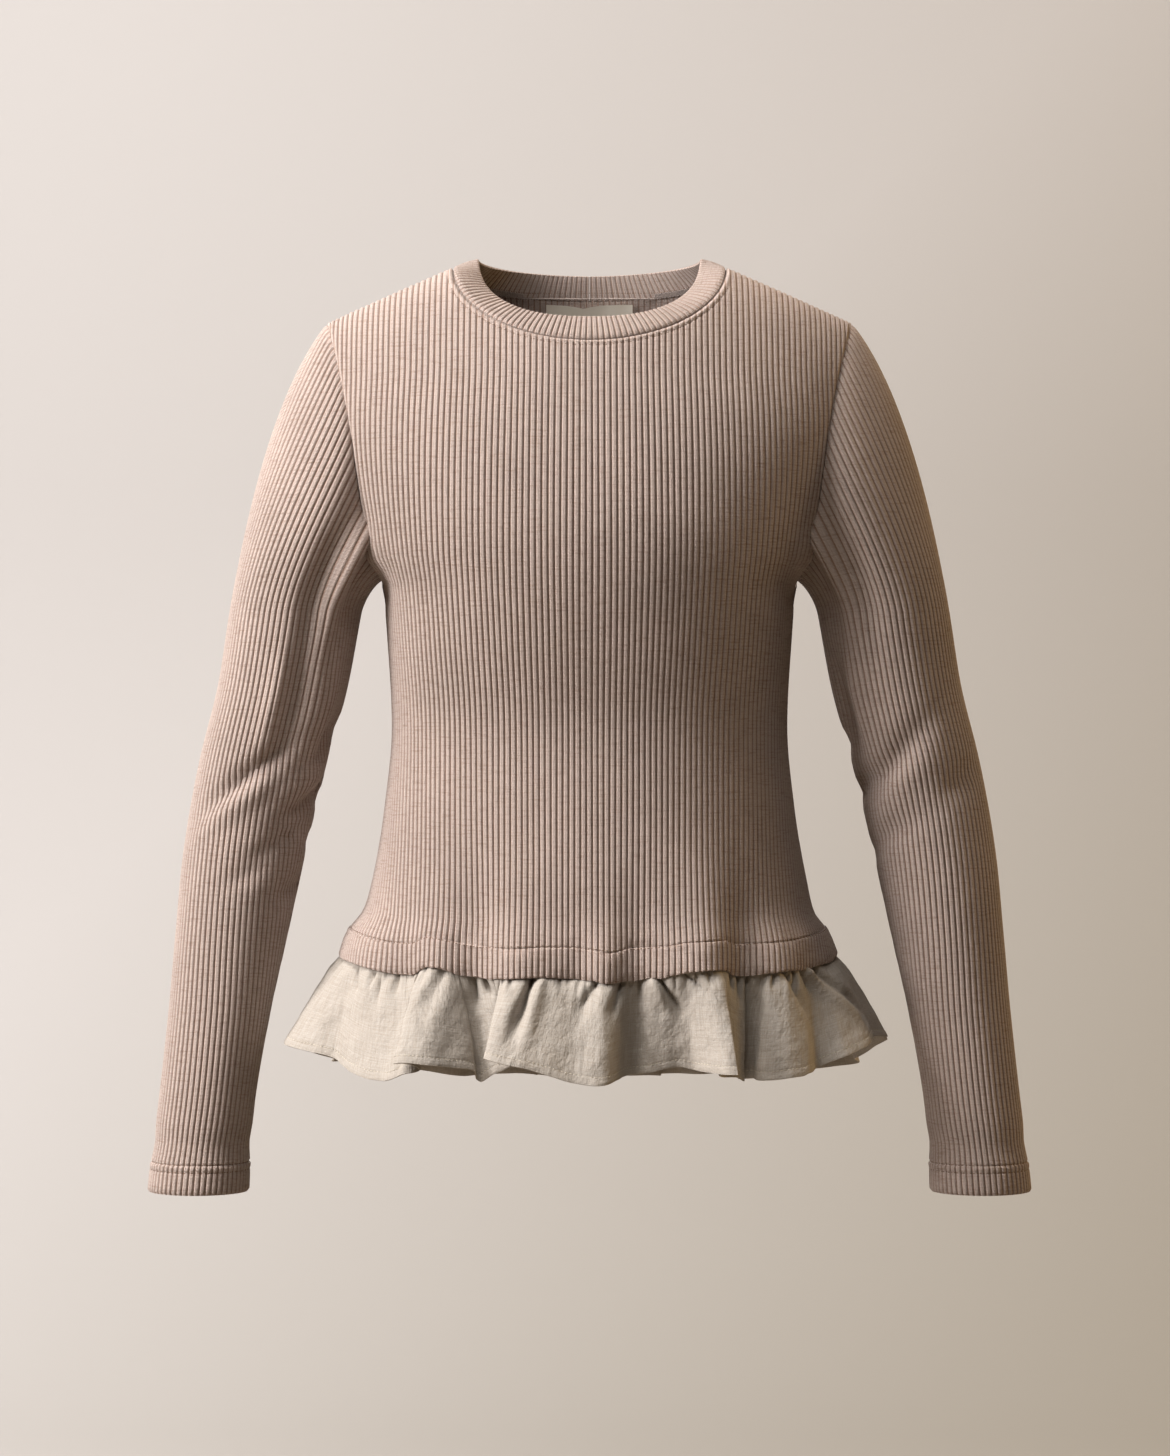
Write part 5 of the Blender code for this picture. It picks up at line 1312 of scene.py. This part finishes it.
def insideBackLines():
    # the covered seam: a needle row on the band just above it, and one on the back just below
    share = np.linspace(cover["start"], 1.0, cover["points"])
    first, second = cover["inward"]
    seam, edge = (alongLine(line, share) for line in bandLines["back"])
    upper = seam + cover["upper"] * (edge - seam) - np.array((0, first, 0))
    z = seam[:, 2] - cover["below"]
    lower = together(seam[:, 0], depthAt("back", seam[:, 0], z) - second, z)
    return [np.vstack([line[::-1], line[1:] * mirror]) for line in (upper, lower)]


upperLine, lowerLine = insideBackLines()
beat, low, high = cover["zigzag"]
zigzag = np.where(np.arange(len(upperLine)) % beat < beat / 2, low, high)[:, None]
looper = upperLine + (lowerLine - upperLine) * zigzag
backNeckRows = makeStitches("neck_cover_rows", "coverRows", [upperLine, lowerLine], darkThread)
backNeckLooper = makeStitches("neck_cover_looper", "coverLooper", [looper], knitThread)
print("back neck seam covered")

# the pieces stand for the cut pieces of the frame
garment = (  # piece, node, slot, flat width and length, flat area, how it is held
    (front, "front", "rib_knit", (0.470, 0.520), 0.185, "stretched"),
    (back, "back", "rib_knit", (0.470, 0.520), 0.185, "stretched"),
    (sleeveRight, "sleeve_right", "rib_knit", (0.310, 0.600), 0.140, "hung"),
    (sleeveLeft, "sleeve_left", "rib_knit", (0.310, 0.600), 0.140, "hung"),
    (neckband, "neckband", "rib_knit", (0.540, 0.021), None, "stretched"),
    (ruffleFront, "ruffle_front", "linen", (0.700, 0.085), None, "gathered"),
    (ruffleBack, "ruffle_back", "linen", (0.700, 0.085), None, "gathered"),
    (neckLabel, "label", "label_cotton", (0.061, 0.034), None, "hung"),
)
for piece, node, slot, flat, area, held in garment:
    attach(piece, "root")
    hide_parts(node)
sewing = (
    (knitStitches, "rib_knit"),
    (linenStitches, "linen"),
    (backNeckRows, "rib_knit"),
    (backNeckLooper, "rib_knit"),
)
for piece, slot in sewing:
    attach(piece, "root")
print("pieces sewn together")

studio = {
    "floorZ": -0.95,
    "wallY": 1.7,
    "bend": 0.9,
    "halfWidth": 3.5,
    "nearY": -3.2,
    "topZ": 4.0,
    # light is the paper's own pale colour, dark the painted shade at the lower right end of its painted
    # light falloff
    "light": (0.48, 0.472, 0.475, 1),
    "dark": (0.225, 0.207, 0.164, 1),
    "slope": (0.5, 0.55),  # how fast the painted light falloff deepens across and down
    "range": (0.0, 1.19),
    "floor": (0.250, 0.212, 0.166, 1),  # the part of the floor in front of the bend
    "floorEdge": (0.74, 0.10),
    "air": (0.80, 0.62, 0.44, 1),
    "airStrength": 0.02,
    "beyond": (0.58, 0.53, 0.46, 1),  # seen where the view goes past the paper
}


def makeBackdrop():
    profile = [(studio["nearY"], studio["floorZ"])]
    for k in range(25):
        turn = math.pi / 2 * k / 24
        y = studio["wallY"] - studio["bend"] * (1 - math.sin(turn))
        profile.append((y, studio["floorZ"] + studio["bend"] * (1 - math.cos(turn))))
    profile.append((studio["wallY"], studio["topZ"]))
    points = [(s * studio["halfWidth"], y, z) for s in (-1, 1) for y, z in profile]
    count = len(profile)
    faces = [(k + 1, k, count + k, count + k + 1) for k in range(count - 1)]
    mesh = bpy.data.meshes.new("backdrop")
    mesh.from_pydata(points, [], faces)
    mesh.shade_smooth()
    # painted light falloff, as if lit from the upper left: the paper is paler there and deeper at the
    # lower right
    material, shader, n = newMaterial("paperBackdrop", 0.95)
    place = n.add("ShaderNodeTexCoord").outputs["Object"]
    x, y, z = n.add("ShaderNodeSeparateXYZ", {0: place}).outputs
    slope = n.math("SUBTRACT", n.times(x, studio["slope"][0]), n.times(z, studio["slope"][1]))
    paperAndPaintedFalloff = n.mix(n.spread(slope, *studio["range"]), studio["light"], studio["dark"])
    paperAndPaintedFalloff = n.mix(n.spread(y, *studio["floorEdge"]), paperAndPaintedFalloff, studio["floor"])
    n.wire(paperAndPaintedFalloff, shader.inputs["Base Color"])
    # from behind, the paper lets the view through
    clear = n.add("ShaderNodeBsdfTransparent").outputs[0]
    behind = n.add("ShaderNodeNewGeometry").outputs["Backfacing"]
    sheer = n.add("ShaderNodeMixShader", {0: behind, 1: shader.outputs[0], 2: clear}).outputs[0]
    n.wire(sheer, n.tree.nodes["Material Output"].inputs["Surface"])
    mesh.materials.append(material)
    return addObject("backdrop", mesh)


makeBackdrop()


lights = (  # name, place, aim, size, power, colour and, for a spot, its beam
    ("keyLight", (-2.24, -0.98, 0.57), (0, 0, -0.32), 1.1, 110.0, (1.0, 0.955, 0.93), 0),
    ("highLight", (-1.03, -0.38, 2.04), (0, 0, -0.32), 0.9, 71.0, (1.0, 0.945, 0.885), 0),
    ("frontLight", (-0.20, -1.14, 1.28), (0, 0, -0.1), 0.8, 9.0, (1.0, 0.95, 0.90), 0),
    ("neckLight", (0, -1.6, 0.12), (0.006, 0.05, -0.008), 0.02, 26.0, (1.0, 0.95, 0.90), 0.065),
    ("warmLight", (2.41, 0.42, 0.57), (0, 0, -0.32), 1.0, 27.0, (1.0, 0.67, 0.30), 0),
    ("backLight", (0, 1.5, -0.2), (0, 0, -0.28), 0.2, 75.0, (1.0, 0.95, 0.90), 0.66),
    ("backdropLight", (-1.4, 0.1, 2.2), (-0.5, 1.7, -0.1), 1.6, 8.0, (1.0, 0.97, 0.94), 0),
)
for name, place, aim, size, power, colour, beam in lights:
    lamp = bpy.data.lights.new(name, "SPOT" if beam else "AREA")
    if beam:
        lamp.spot_size, lamp.spot_blend, lamp.shadow_soft_size = beam, 0.7, size
    else:
        lamp.shape, lamp.size = "DISK", size
    lamp.energy, lamp.color = power, colour
    holder = addObject(name, lamp)
    holder.location = place
    holder.rotation_euler = (Vector(aim) - Vector(place)).to_track_quat("-Z", "Y").to_euler()
    holder.visible_camera = False

world = bpy.data.worlds.new("studioAir")
world.use_nodes = True
n = Nodes(world.node_tree)
dim = n.tree.nodes["Background"]
n.wire(studio["air"], dim.inputs["Color"])
n.wire(studio["airStrength"], dim.inputs["Strength"])
# the pale room past the paper lights nothing
pale = n.add("ShaderNodeBackground", {"Color": studio["beyond"], "Strength": 1.0}).outputs[0]
seen = n.add("ShaderNodeLightPath").outputs["Is Camera Ray"]
room = n.add("ShaderNodeMixShader", {0: seen, 1: dim.outputs[0], 2: pale}).outputs[0]
n.wire(room, n.tree.nodes["World Output"].inputs["Surface"])
bpy.context.scene.world = world
bpy.context.scene.view_settings.view_transform = "Standard"

view = {"place": (-0.0031, -2.8, -0.3153), "focal": 100.3, "sensor": 36.0}
camera = bpy.data.cameras.new("camera")
camera.lens = view["focal"]
camera.sensor_width = view["sensor"]
holder = addObject("camera", camera)
holder.location = view["place"]
holder.rotation_euler = (math.pi / 2, 0, 0)
bpy.context.scene.camera = holder
print("studio lit")
